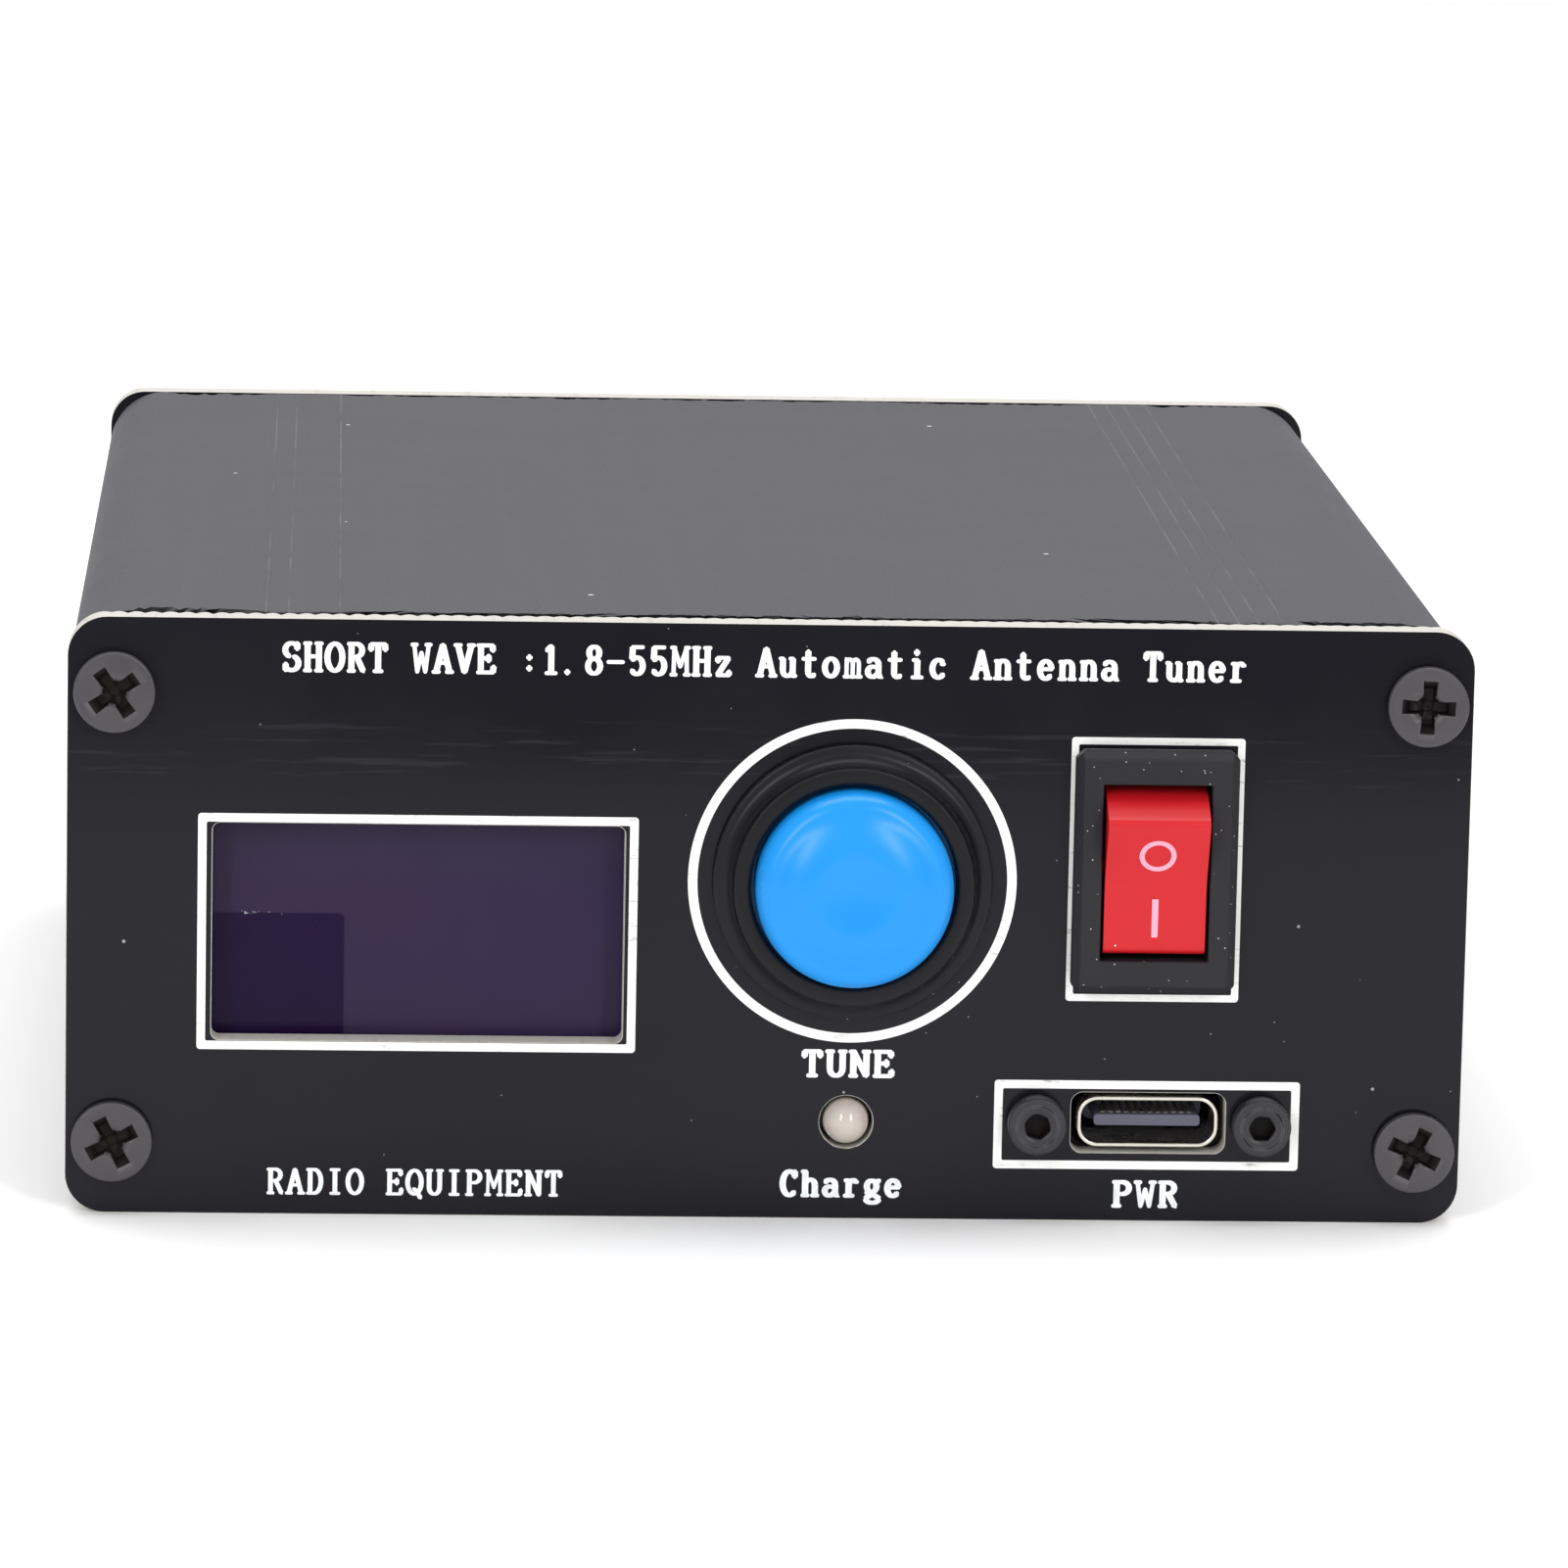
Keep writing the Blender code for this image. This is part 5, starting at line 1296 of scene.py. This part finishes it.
def make_port_screws():
    """Two small cap screws with hexagon sockets."""
    top = PANEL_LOW.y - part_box("usb_screw_1")[0].y
    radius = size("usb_screw_1").x / 2
    rim = 0.18 * MM
    groove = 1.32 * MM
    profile = [(0.0, top), (groove - 0.05 * MM, top), (groove, top - 0.05 * MM)]
    profile += [(groove + 0.05 * MM, top)] + arc(radius - rim, top - rim, rim, 90.0, 0.0, 4) + [
        (radius, SEAT),
        (0.9 * MM, SEAT),
        (0.9 * MM, -5.5 * MM),
        (0.0, -5.5 * MM),
    ]
    screw = lathe("port_screw", profile, steps=40)
    socket = slab("socket", [hexagon(0.0, 0.0, 1.5 * MM)], top - 1.1 * MM, top + 0.3 * MM)
    subtract(screw, socket)
    lead = [(0.0, top + 0.1 * MM), (1.0 * MM, top + 0.1 * MM), (0.72 * MM, top - 0.13 * MM),
            (0.0, top - 0.2 * MM)]
    subtract(screw, lathe("lead", lead, steps=24))
    mark_recess(screw, -1.5 * MM, top - 0.2 * MM, 0.9 * MM)
    matrix = ON_FRONT @ Matrix.Translation((PORT.x, PORT.z, 0))
    screws = scatter(
        "port_screws", screw, BLACK_OXIDE, (2 * PORT_SCREW_X, 0.0), (2, 1), matrix,
        most_turn=math.radians(30), seed=2, recess=DARK_RECESS,
    )
    hand_over(screws, "case", None, "black_zinc", "usb_screw_1", "usb_screw_2")


# ----------------------------------------------------------- display


def make_display():
    low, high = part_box("display_glass")
    shape = bmesh.new()
    add_block(shape, high - low, (low + high) / 2)
    glass = mesh_from(shape, "display_glass_panel")
    soften(glass, 0.12 * MM, segments=2)
    hand_over(glass, "case", DISPLAY_GLASS, "display_glass", "display_glass")
    refine("display_board", BLUE_BOARD, 0.1 * MM, 1)
    refine("display_header", BLACK_NYLON, 0.08 * MM, 1)


# ------------------------------------------------------- tune button


BUTTON_TOP = PANEL_LOW.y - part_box("tune_button_housing")[0].y
BUTTON_LEDGE = BUTTON_TOP - 1.6 * MM
CAP_R = 6.2 * MM
CAP_FLANGE = 0.6 * MM


def make_button_bezel(spot):
    """The black housing: a flat ring round the cap, a cove down to the brim, and the barrel."""
    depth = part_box("tune_button_housing")[1].y - PANEL_LOW.y
    outer = size("tune_button_housing").x / 2
    bore = CAP_R + 0.25 * MM
    inner = CAP_R + CAP_FLANGE + SEAT
    barrel_r = 7.7 * MM
    lip, bead, brim_soft = 0.25 * MM, 0.12 * MM, 0.22 * MM
    flat_r = 7.42 * MM
    brim = SEAT + 0.45 * MM
    cove_r, cove_top = flat_r + bead, BUTTON_TOP - bead
    cove_out = outer - 0.3 * MM
    profile = arc(bore + lip, BUTTON_TOP - lip, lip, 180.0, 90.0, 4)
    profile += arc(flat_r, cove_top, bead, 90.0, 10.0, 4)
    for step in range(1, 12):
        angle = math.radians(180.0 + 90.0 * step / 12)
        across = cove_r + (cove_out - cove_r) * (1 + math.cos(angle))
        profile.append((across, cove_top + (cove_top - brim) * math.sin(angle)))
    profile += arc(outer - brim_soft, brim - brim_soft, brim_soft, 80.0, 0.0, 4)
    profile += [
        (outer, SEAT),
        (barrel_r, SEAT),
        (barrel_r, -depth),
        (inner, -depth),
        (inner, BUTTON_LEDGE),
        (bore, BUTTON_LEDGE),
    ]
    housing = lathe("tune_button_bezel", profile, spot, steps=96, closed=True)
    hand_over(housing, "case", SATIN_BLACK, "black_nylon", "tune_button_housing")


def make_button_cap(spot):
    """The blue cap: a shallow dimple on a low dome, a round edge, and a flange and stem inside."""
    cap_low, cap_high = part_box("tune_button_cap")
    crown, stem_end = PANEL_LOW.y - cap_low.y, PANEL_LOW.y - cap_high.y
    edge_r = 1.15 * MM
    drop = 0.75 * MM
    dimple_r, dimple_depth = 2.5 * MM, 0.22 * MM
    stem_r = 1.5 * MM
    flange_top = BUTTON_LEDGE - SEAT
    flange_low = flange_top - 1.6 * MM
    profile = []
    for step in range(9):
        share = step / 8
        profile.append((dimple_r * share, crown - dimple_depth * (1 - share**2) ** 1.5))
    for step in range(1, 6):
        share = step / 6
        across = dimple_r + (CAP_R - edge_r - dimple_r) * share
        profile.append((across, crown - drop * share**2))
    profile += arc(CAP_R - edge_r, crown - drop - edge_r, edge_r, 90.0, 0.0, 8)
    profile += [
        (CAP_R, flange_top),
        (CAP_R + CAP_FLANGE, flange_top),
        (CAP_R + CAP_FLANGE, flange_low),
        (stem_r, flange_low),
        (stem_r, stem_end),
        (0.0, stem_end),
    ]
    cap = lathe("tune_button_face", profile, spot, steps=96)
    hand_over(cap, "tune_cap", BLUE_PLASTIC, "blue_plastic", "tune_button_cap")


def make_tune_button():
    spot = ON_FRONT @ Matrix.Translation((BUTTON.x, BUTTON.z, 0))
    make_button_bezel(spot)
    make_button_cap(spot)
    make_return_spring(spot)
    refine("tune_button_nut", NICKEL, 0.3 * MM)
    refine("tune_button_base", BLACK_NYLON, 0.2 * MM)
    for number in (1, 2):
        refine(f"tune_terminal_{number}", TINNED_BRASS, 0.08 * MM)


def make_return_spring(spot):
    """Round-wire compression spring with closed ends."""
    low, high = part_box("tune_button_spring")
    wire = 0.35 * MM
    radius = (high.x - low.x) / 2 - wire
    bottom, top = PANEL_LOW.y - high.y + wire, PANEL_LOW.y - low.y - wire
    turns, per_turn = 7.0, 28
    count = int(turns * per_turn)
    curve = bpy.data.curves.new("spring_path", "CURVE")
    curve.dimensions = "3D"
    curve.bevel_depth = wire
    curve.bevel_resolution = 3
    curve.use_fill_caps = True
    line = curve.splines.new("POLY")
    line.points.add(count)
    for step, point in enumerate(line.points):
        share = step / count
        ends = 0.12
        rise = min(max((share - ends) / (1 - 2 * ends), 0.0), 1.0)
        closed = 2 * wire * (min(share, ends) / ends + max(share - 1 + ends, 0.0) / ends) / 2
        height = bottom + closed + rise * (top - bottom - 2 * wire)
        angle = TURN * turns * share
        point.co = (radius * math.cos(angle), radius * math.sin(angle), height, 1.0)
    holder = bpy.data.objects.new("spring_path", curve)
    bpy.context.scene.collection.objects.link(holder)
    depsgraph = bpy.context.evaluated_depsgraph_get()
    mesh = bpy.data.meshes.new_from_object(holder.evaluated_get(depsgraph))
    bpy.data.objects.remove(holder)
    shape = bmesh.new()
    shape.from_mesh(mesh)
    bmesh.ops.remove_doubles(shape, verts=shape.verts, dist=0.001 * MM)
    spring = mesh_from(shape, "tune_return_spring", spot)
    hand_over(spring, "case", SPRING_STEEL, "spring_steel", "tune_button_spring")
    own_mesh(spring)


# ------------------------------------------------------ power switch

ROCKER_R = 5.3 * MM
CREST_R = 5.75 * MM
CREST = math.radians(51.5)
SHOULDER = 76.0
TILT = math.radians(13.6)
HOLLOW = 0.9 * MM


def rocker_outline():
    """The rocker from the side, level: softened crests, a gentle hollow and a round back."""
    crest_y = CREST_R * math.cos(CREST)
    crest_z = CREST_R * math.sin(CREST)
    soft = 0.62 * MM
    back = math.degrees(math.acos(2.2 * MM / ROCKER_R))
    lower = arc(0.0, 0.0, ROCKER_R, 180.0 + SHOULDER, 360.0 - back, 16)
    upper = arc(0.0, 0.0, ROCKER_R, back, 180.0 - SHOULDER, 16)
    face = []
    slope = HOLLOW / crest_z
    for side, shoulder in ((1, upper[-1]), (-1, lower[0])):
        corner = Vector((-crest_y, side * crest_z))
        start = corner + (Vector(shoulder) - corner).normalized() * soft
        finish = Vector((-crest_y + soft * slope, side * (crest_z - soft)))
        bend = [start[:]]
        for step in range(1, 7):
            share = step / 7
            bend.append(start.lerp(corner, share).lerp(corner.lerp(finish, share), share)[:])
        bend.append(finish[:])
        face.append(bend)
    hollow = [
        (-(crest_y - HOLLOW) - 0.06 * MM, side * 0.55 * MM) for side in (1, -1)
    ]
    return lower + upper + face[0] + hollow + list(reversed(face[1]))


def make_power_switch():
    pivot = Matrix.Translation(joint("power_rock")["pos_m"])
    rest = pivot @ Matrix.Rotation(TILT, 4, "X")
    half = 3.2 * MM
    rocker = slab("rocker_paddle", [rocker_outline()], -half, half, rest @ TO_SIDE)
    soften(rocker, 0.3 * MM, segments=4, angle=50.0)
    pins = lathe(
        "rocker_pins",
        [(0.0, half + 0.8 * MM), (0.6 * MM, half + 0.8 * MM), (0.6 * MM, -half - 0.8 * MM),
         (0.0, -half - 0.8 * MM)],
        rest @ TO_SIDE, steps=24,
    )
    plunger = lathe(
        "rocker_plunger",
        [(0.0, -1.7 * MM), (0.8 * MM, -1.7 * MM), (0.8 * MM, -5.2 * MM), (0.5 * MM, -5.5 * MM),
         (0.0, -5.5 * MM)],
        rest @ Matrix.Rotation(math.pi / 2, 4, "X"), steps=24,
    )
    whole = join("power_rocker", plain(rocker), pins, plunger)
    hand_over(whole, "rocker", RED_PLASTIC, "red_plastic", "power_switch_rocker")
    make_rocker_marks(rest)

    refine("power_switch_housing", BLACK_NYLON, 0.12 * MM, 3)
    refine("switch_contact_arm", TINNED_BRASS, 0.1 * MM)
    for number in (1, 2):
        refine(f"power_terminal_{number}", TINNED_BRASS, 0.08 * MM)


def make_rocker_marks(rest):
    """The ring and the bar printed on the rocker's two faces."""
    crest_y = CREST_R * math.cos(CREST)
    crest_z = CREST_R * math.sin(CREST)
    slope = math.atan2(HOLLOW, crest_z)
    shape = bmesh.new()
    for side in (1, -1):
        start = len(shape.verts)
        if side > 0:
            ring = [circle(0.0, 0.0, 1.16 * MM, 40), circle(0.0, 0.0, 0.84 * MM, 40)]
            add_slab(shape, ring, -0.02 * MM, 0.025 * MM)
        else:
            add_slab(shape, [rounded_rectangle(0, 0, 0.4 * MM, 2.46 * MM, 0.06 * MM, 3)],
                     -0.02 * MM, 0.025 * MM)
        shape.verts.ensure_lookup_table()
        share = 0.465 if side > 0 else 0.485
        lift = crest_y - HOLLOW + HOLLOW * share
        place = (
            Matrix.Rotation(math.pi / 2, 4, "X")
            @ Matrix.Translation((0, side * crest_z * share, lift))
            @ Matrix.Rotation(side * slope, 4, "X")
        )
        for vertex in shape.verts[start:]:
            vertex.co = place @ vertex.co
    marks = mesh_from(shape, "rocker_marks", rest)
    hand_over(marks, "rocker", PINK_WHITE, "red_plastic")


# ----------------------------------------------------- charging port


def make_port():
    low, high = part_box("usb_socket_shell")
    width, height, wall = high.x - low.x, high.z - low.z, 0.26 * MM
    depth_low, depth_high = PANEL_LOW.y - high.y, PANEL_LOW.y - low.y
    outer = rounded_rectangle(PORT.x, PORT.z, width, height, 1.3 * MM, 12)
    inner = rounded_rectangle(PORT.x, PORT.z, width - 2 * wall, height - 2 * wall, 1.05 * MM, 12)
    shell = slab("port_shell", [outer, inner], depth_low, depth_high, ON_FRONT)
    soften(shell, 0.09 * MM, segments=3)
    hand_over(shell, "case", NICKEL, "nickel_plate", "usb_socket_shell")

    low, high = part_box("usb_socket_tongue")
    near, far = PANEL_LOW.y - low.y, PANEL_LOW.y - high.y
    blade = [rounded_rectangle(PORT.x, PORT.z, 6.7 * MM, 0.7 * MM, 0.2 * MM, 4)]
    root = [rounded_rectangle(PORT.x, PORT.z, high.x - low.x, high.z - low.z, 0.8 * MM, 6)]
    tongue = join(
        "port_tongue",
        slab("blade", blade, far, near, ON_FRONT),
        slab("root", root, far, far + 1.5 * MM, ON_FRONT),
    )
    tongue.data.shade_smooth()
    tongue.data.set_sharp_from_angle(angle=math.radians(32))
    hand_over(tongue, "case", TONGUE_PLASTIC, "black_nylon", "usb_socket_tongue")

    shape = bmesh.new()
    add_block(shape, (0.28 * MM, 0.78 * MM, 3.2 * MM), (0, 0, 0))
    pad = mesh_from(shape, "pad")
    place = ON_FRONT @ Matrix.Translation((PORT.x, PORT.z, near - 2.3 * MM))
    pads = scatter("port_contacts", pad, TINNED_BRASS, (5.5 * MM, 0.0), (12, 1), place)
    hand_over(pads, "case", None, "tinned_brass")
    refine("usb_carrier", BLACK_NYLON, 0.15 * MM)
    refine("charger_board", GREEN_BOARD, 0.08 * MM, 1)
    refine("battery", FOIL, 0.3 * MM)


def make_led():
    low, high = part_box("charge_led")
    radius = 1.45 * MM
    proud = PANEL_LOW.y - low.y
    bottom = proud - 5.3 * MM
    profile = arc(0.0, proud - radius, radius, 90.0, 0.0, 16)
    profile[0] = (0.0, proud)
    profile += [
        (radius, bottom + 1.0 * MM),
        (radius + 0.3 * MM, bottom + 1.0 * MM),
        (radius + 0.3 * MM, bottom),
        (0.0, bottom),
    ]
    spot = ON_FRONT @ Matrix.Translation((LED.x, LED.z, 0))
    lens = lathe("charge_lamp", profile, spot, steps=48)
    hand_over(lens, "case", MILKY_LENS, "milky_lens", "charge_led")
    shape = bmesh.new()
    end = PANEL_LOW.y - high.y
    for side in (-1, 1):
        place = (side * 1.27 * MM, 0.0, (bottom + end) / 2)
        add_block(shape, (0.5 * MM, 0.5 * MM, bottom - end), place)
    legs = mesh_from(shape, "charge_lamp_legs", spot)
    hand_over(legs, "case", TINNED_BRASS, "tinned_brass")


# -------------------------------------------------- coaxial sockets

THREAD_PITCH = 25.4 / 24 * MM
THREAD_DEPTH = 0.42 * MM
COAX_R = 7.9 * MM
COAX_BORE = 5.9 * MM
COAX_LEDGE = 5.0 * MM  # where the bore narrows, above the rear panel's face
FLANGE_R = 9.5 * MM
FLANGE_THICK = 2.5 * MM
INSULATOR_R = 4.3 * MM


def thread_wave(start, end):
    """A helical ridge between two heights, faded out at both."""

    def wave(radius, height, angle):
        if radius < 7.0 * MM or not start <= height <= end:
            return 0.0
        phase = (height / THREAD_PITCH - angle / TURN) % 1.0
        ridge = abs(2 * phase - 1)
        fade = min(1.0, (height - start) / THREAD_PITCH, (end - height) / THREAD_PITCH)
        return -THREAD_DEPTH * (1 - ridge) * max(fade, 0.0)

    return wave


def make_coaxial_barrel(name, matrix):
    """The threaded shell with its flange, and four key notches in its rim."""
    low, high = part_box(f"{name}_shell")
    top = high.y - REAR_HIGH.y
    bottom = low.y - REAR_HIGH.y
    thread_low, thread_high = -PANEL_THICK, top - 0.4 * MM
    rows = int((thread_high - thread_low) / THREAD_PITCH * 6)
    barrel = [
        (COAX_R, thread_high + (thread_low - thread_high) * i / rows) for i in range(rows + 1)
    ]
    rim = 0.35 * MM
    soft = 0.3 * MM
    profile = [(COAX_BORE, top - rim), (COAX_BORE + rim, top), (COAX_R - 0.5 * MM, top)]
    profile += barrel
    profile += [
        (COAX_R, bottom + FLANGE_THICK),
        (FLANGE_R - soft, bottom + FLANGE_THICK),
        (FLANGE_R, bottom + FLANGE_THICK - soft),
        (FLANGE_R, bottom + soft),
        (FLANGE_R - soft, bottom),
        (INSULATOR_R + SEAT, bottom),
        (INSULATOR_R + SEAT, COAX_LEDGE),
        (COAX_BORE, COAX_LEDGE),
    ]
    wave = thread_wave(thread_low, thread_high)
    shell = lathe(f"{name}_barrel", profile, steps=96, closed=True, wave=wave)
    for turn in (math.pi / 4, 3 * math.pi / 4):
        shape = bmesh.new()
        centre = Matrix.Rotation(turn, 4, "Z") @ Matrix.Translation((0, 0, top))
        bmesh.ops.create_cube(
            shape, size=1.0, matrix=centre @ Matrix.Diagonal((40 * MM, 1.3 * MM, 2.0 * MM, 1.0))
        )
        subtract(shell, mesh_from(shape, "notch"))
    shell.data.transform(matrix)
    hand_over(shell, "case", NICKEL, "nickel_plate", f"{name}_shell")


def make_coaxial_insulator(name, matrix):
    low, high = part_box(f"{name}_insulator")
    front, back = high.y - REAR_HIGH.y, low.y - REAR_HIGH.y
    disc_low = COAX_LEDGE + SEAT
    disc_high = disc_low + 2.7 * MM
    hole = 3.2 * MM
    soft = 0.2 * MM
    profile = arc(INSULATOR_R - soft, front - soft, soft, 90.0, 0.0, 3)
    profile += [
        (INSULATOR_R, disc_high),
        (COAX_BORE - SEAT, disc_high),
        (COAX_BORE - SEAT, disc_low),
        (INSULATOR_R, disc_low),
        (INSULATOR_R, back),
        (hole, back),
        (hole, front),
    ]
    insulator = lathe(f"{name}_dielectric", profile, matrix, steps=64, closed=True)
    hand_over(insulator, "case", WHITE_INSULATOR, "white_insulator", f"{name}_insulator")


def make_coaxial_contact(name, matrix):
    """The hollow centre contact, slit into four fingers, and its solder tail."""
    low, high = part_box(f"{name}_contact")
    front, back = high.y - REAR_HIGH.y, low.y - REAR_HIGH.y
    outer, inner, tail_r = 2.9 * MM, 2.0 * MM, 1.2 * MM
    tail_top = back + 4.0 * MM
    profile = [(0.0, front - 11.0 * MM), (inner, front - 10.6 * MM), (inner, front - 0.3 * MM)]
    profile += [(inner + 0.3 * MM, front), (outer - 0.2 * MM, front), (outer, front - 0.2 * MM)]
    profile += [(outer, tail_top), (tail_r, tail_top), (tail_r, back), (0.0, back)]
    contact = lathe(f"{name}_pin", profile, steps=48)
    for turn in (0.0, math.pi / 2):
        shape = bmesh.new()
        add_block(shape, (8.0 * MM, 0.45 * MM, 9.0 * MM), (0, 0, front - 3.0 * MM))
        subtract(contact, mesh_from(shape, "slit", Matrix.Rotation(turn, 4, "Z")))
    contact.data.transform(matrix)
    hand_over(contact, "case", TINNED_BRASS, "tinned_brass", f"{name}_contact")


def make_coaxial_socket(name):
    centre = middle(f"{name}_shell")
    matrix = Matrix.Translation((centre.x, 0, centre.z)) @ ON_REAR
    make_coaxial_barrel(name, matrix)
    make_coaxial_insulator(name, matrix)
    make_coaxial_contact(name, matrix)
    refine(f"{name}_nut", NICKEL, 0.35 * MM, 2)


# ------------------------------------------------------ parts inside


def winding_tree():
    """Geometry nodes that wind a round wire about a ring lying in the XY plane."""
    g = Growth(
        "ring_winding", Finish="Material", Turns="Float", Points="Int", Ring_radius="Float",
        Winding_radius="Float", Wire_radius="Float", Covered="Float",
    )
    given = g.given
    line = g.step("GeometryNodeCurvePrimitiveLine", "Curve")
    dense = g.step("GeometryNodeResampleCurve", "Curve", Curve=line, Count=given["Points"])
    along = g.step("GeometryNodeSplineParameter", "Factor")
    around = g.math("MULTIPLY", along, given["Covered"])
    spin = g.math("MULTIPLY", g.math("MULTIPLY", along, given["Turns"]), TURN)
    out = g.math("MULTIPLY", given["Winding radius"], g.math("COSINE", spin))
    reach = g.math("ADD", given["Ring radius"], out)
    spot = g.step(
        "ShaderNodeCombineXYZ", "Vector",
        X=g.math("MULTIPLY", reach, g.math("COSINE", around)),
        Y=g.math("MULTIPLY", reach, g.math("SINE", around)),
        Z=g.math("MULTIPLY", given["Winding radius"], g.math("SINE", spin)),
    )
    path = g.step("GeometryNodeSetPosition", "Geometry", Geometry=dense, Position=spot)
    section = g.step(
        "GeometryNodeCurvePrimitiveCircle", "Curve", Resolution=8, Radius=given["Wire radius"]
    )
    wire = g.step(
        "GeometryNodeCurveToMesh", "Mesh", Curve=path, Profile_Curve=section, Fill_Caps=True
    )
    whole = g.step("GeometryNodeRealizeInstances", "Geometry", Geometry=wire)
    return g.end(g.paint(whole, given["Finish"]))


def make_inductors():
    tree = winding_tree()
    for number in (1, 2, 3):
        node = f"inductor_{number}"
        centre = middle(node)
        extent = size(node)
        wire = 0.4 * MM
        tube = extent.y / 2
        ring_r = extent.x / 2 - tube
        stand = Matrix.Translation(centre) @ Matrix.Rotation(math.pi / 2, 4, "X")
        core_r = tube - 2 * wire - 0.15 * MM
        core = [(ring_r + across, up) for across, up in circle(0.0, 0.0, core_r, 20)]
        ring = lathe(f"inductor_core_{number}", core, stand, steps=48, closed=True)
        hand_over(ring, "case", IRON_COATING, "powdered_iron", node)
        winding = run_tree(
            f"inductor_winding_{number}", tree, stand @ Matrix.Rotation(math.radians(285), 4, "Z"),
            Finish=ENAMELLED_COPPER, Turns=22.0 - 4 * number, Points=12 * (22 - 4 * number),
            Ring_radius=ring_r, Winding_radius=tube - wire, Wire_radius=wire,
            Covered=math.radians(330),
        )
        winding.data.shade_smooth()
        hand_over(winding, "case", None, "powdered_iron")


def make_inside():
    refine("main_board", GREEN_BOARD, 0.08 * MM, 1)
    refine("coupler_core", FERRITE, 0.25 * MM)
    refine("microcontroller", CHIP_EPOXY, 0.12 * MM)
    for row in "lc":
        for number in range(1, 6):
            refine(f"relay_{row}{number}", RELAY_PLASTIC, 0.25 * MM)
    make_inductors()


# ------------------------------------------------ studio and camera


def stage_plane(name, extent, centre, finish):
    shape = bmesh.new()
    bmesh.ops.create_grid(shape, x_segments=1, y_segments=1, size=0.5)
    mesh = bpy.data.meshes.new(name)
    shape.to_mesh(mesh)
    shape.free()
    mesh.transform(Matrix.Translation(centre) @ Matrix.Diagonal((*extent, 1.0, 1.0)))
    mesh.materials.append(finish)
    thing = bpy.data.objects.new(name, mesh)
    bpy.context.scene.collection.objects.link(thing)
    return thing


def make_floor():
    white = colour(0.98, 0.98, 0.98)
    pale = Surface("pale_floor", Base_Color=white, Roughness=0.6, Specular_IOR_Level=0.2)
    stage_plane("floor", (12.0, 12.0), (0, 0, 0), pale.material)
    dark = Surface("dark_card", Base_Color=colour(0.12, 0.12, 0.125), Roughness=0.8)
    card = stage_plane("dark_card", (2.0, 0.9), (0, -0.66, 0.0004), dark.material)
    card.visible_camera = False
    card.visible_diffuse = False
    card.visible_shadow = False


def soft_box(name, place, target, extent, power):
    light = bpy.data.lights.new(name, "AREA")
    light.shape = "RECTANGLE"
    light.size, light.size_y = extent
    light.energy = power
    lamp = bpy.data.objects.new(name, light)
    bpy.context.scene.collection.objects.link(lamp)
    lamp.location = place
    lamp.rotation_euler = (Vector(target) - Vector(place)).to_track_quat("-Z", "Y").to_euler()
    return lamp


def make_lights():
    world = bpy.data.worlds.new("studio")
    bpy.context.scene.world = world
    world.use_nodes = True
    sky = world.node_tree.nodes["Background"]
    sky.inputs["Color"].default_value = (1.0, 1.0, 1.0, 1.0)
    sky.inputs["Strength"].default_value = 0.7
    target = (0.0, 0.0, 0.02)
    soft_box("overhead", (0.0, 0.15, 0.9), target, (0.9, 0.7), 7.0)
    soft_box("left_box", (-0.5, -0.95, 0.46), target, (0.11, 0.6), 3.0)
    soft_box("right_box", (0.45, -0.95, 0.46), target, (0.11, 0.6), 3.0)


def make_camera():
    data = bpy.data.cameras.new("camera")
    data.lens = 202.5
    data.sensor_width = 36.0
    data.clip_start = 0.01
    camera = bpy.data.objects.new("camera", data)
    bpy.context.scene.collection.objects.link(camera)
    camera.location = (-0.02755, -0.5945, 0.12672)
    camera.rotation_euler = [math.radians(angle) for angle in (79.678, -1.142, -2.781)]
    bpy.context.scene.camera = camera


def main():
    make_shells()
    make_front_panel()
    make_rear_panel()
    make_tin_frames()
    make_lettering()
    make_panel_screws()
    make_port_screws()
    make_display()
    make_tune_button()
    make_power_switch()
    make_port()
    make_led()
    for name in ("radio_socket", "antenna_socket"):
        make_coaxial_socket(name)
    make_inside()
    make_floor()
    make_lights()
    make_camera()
    bpy.context.scene.view_settings.view_transform = "Standard"


main()
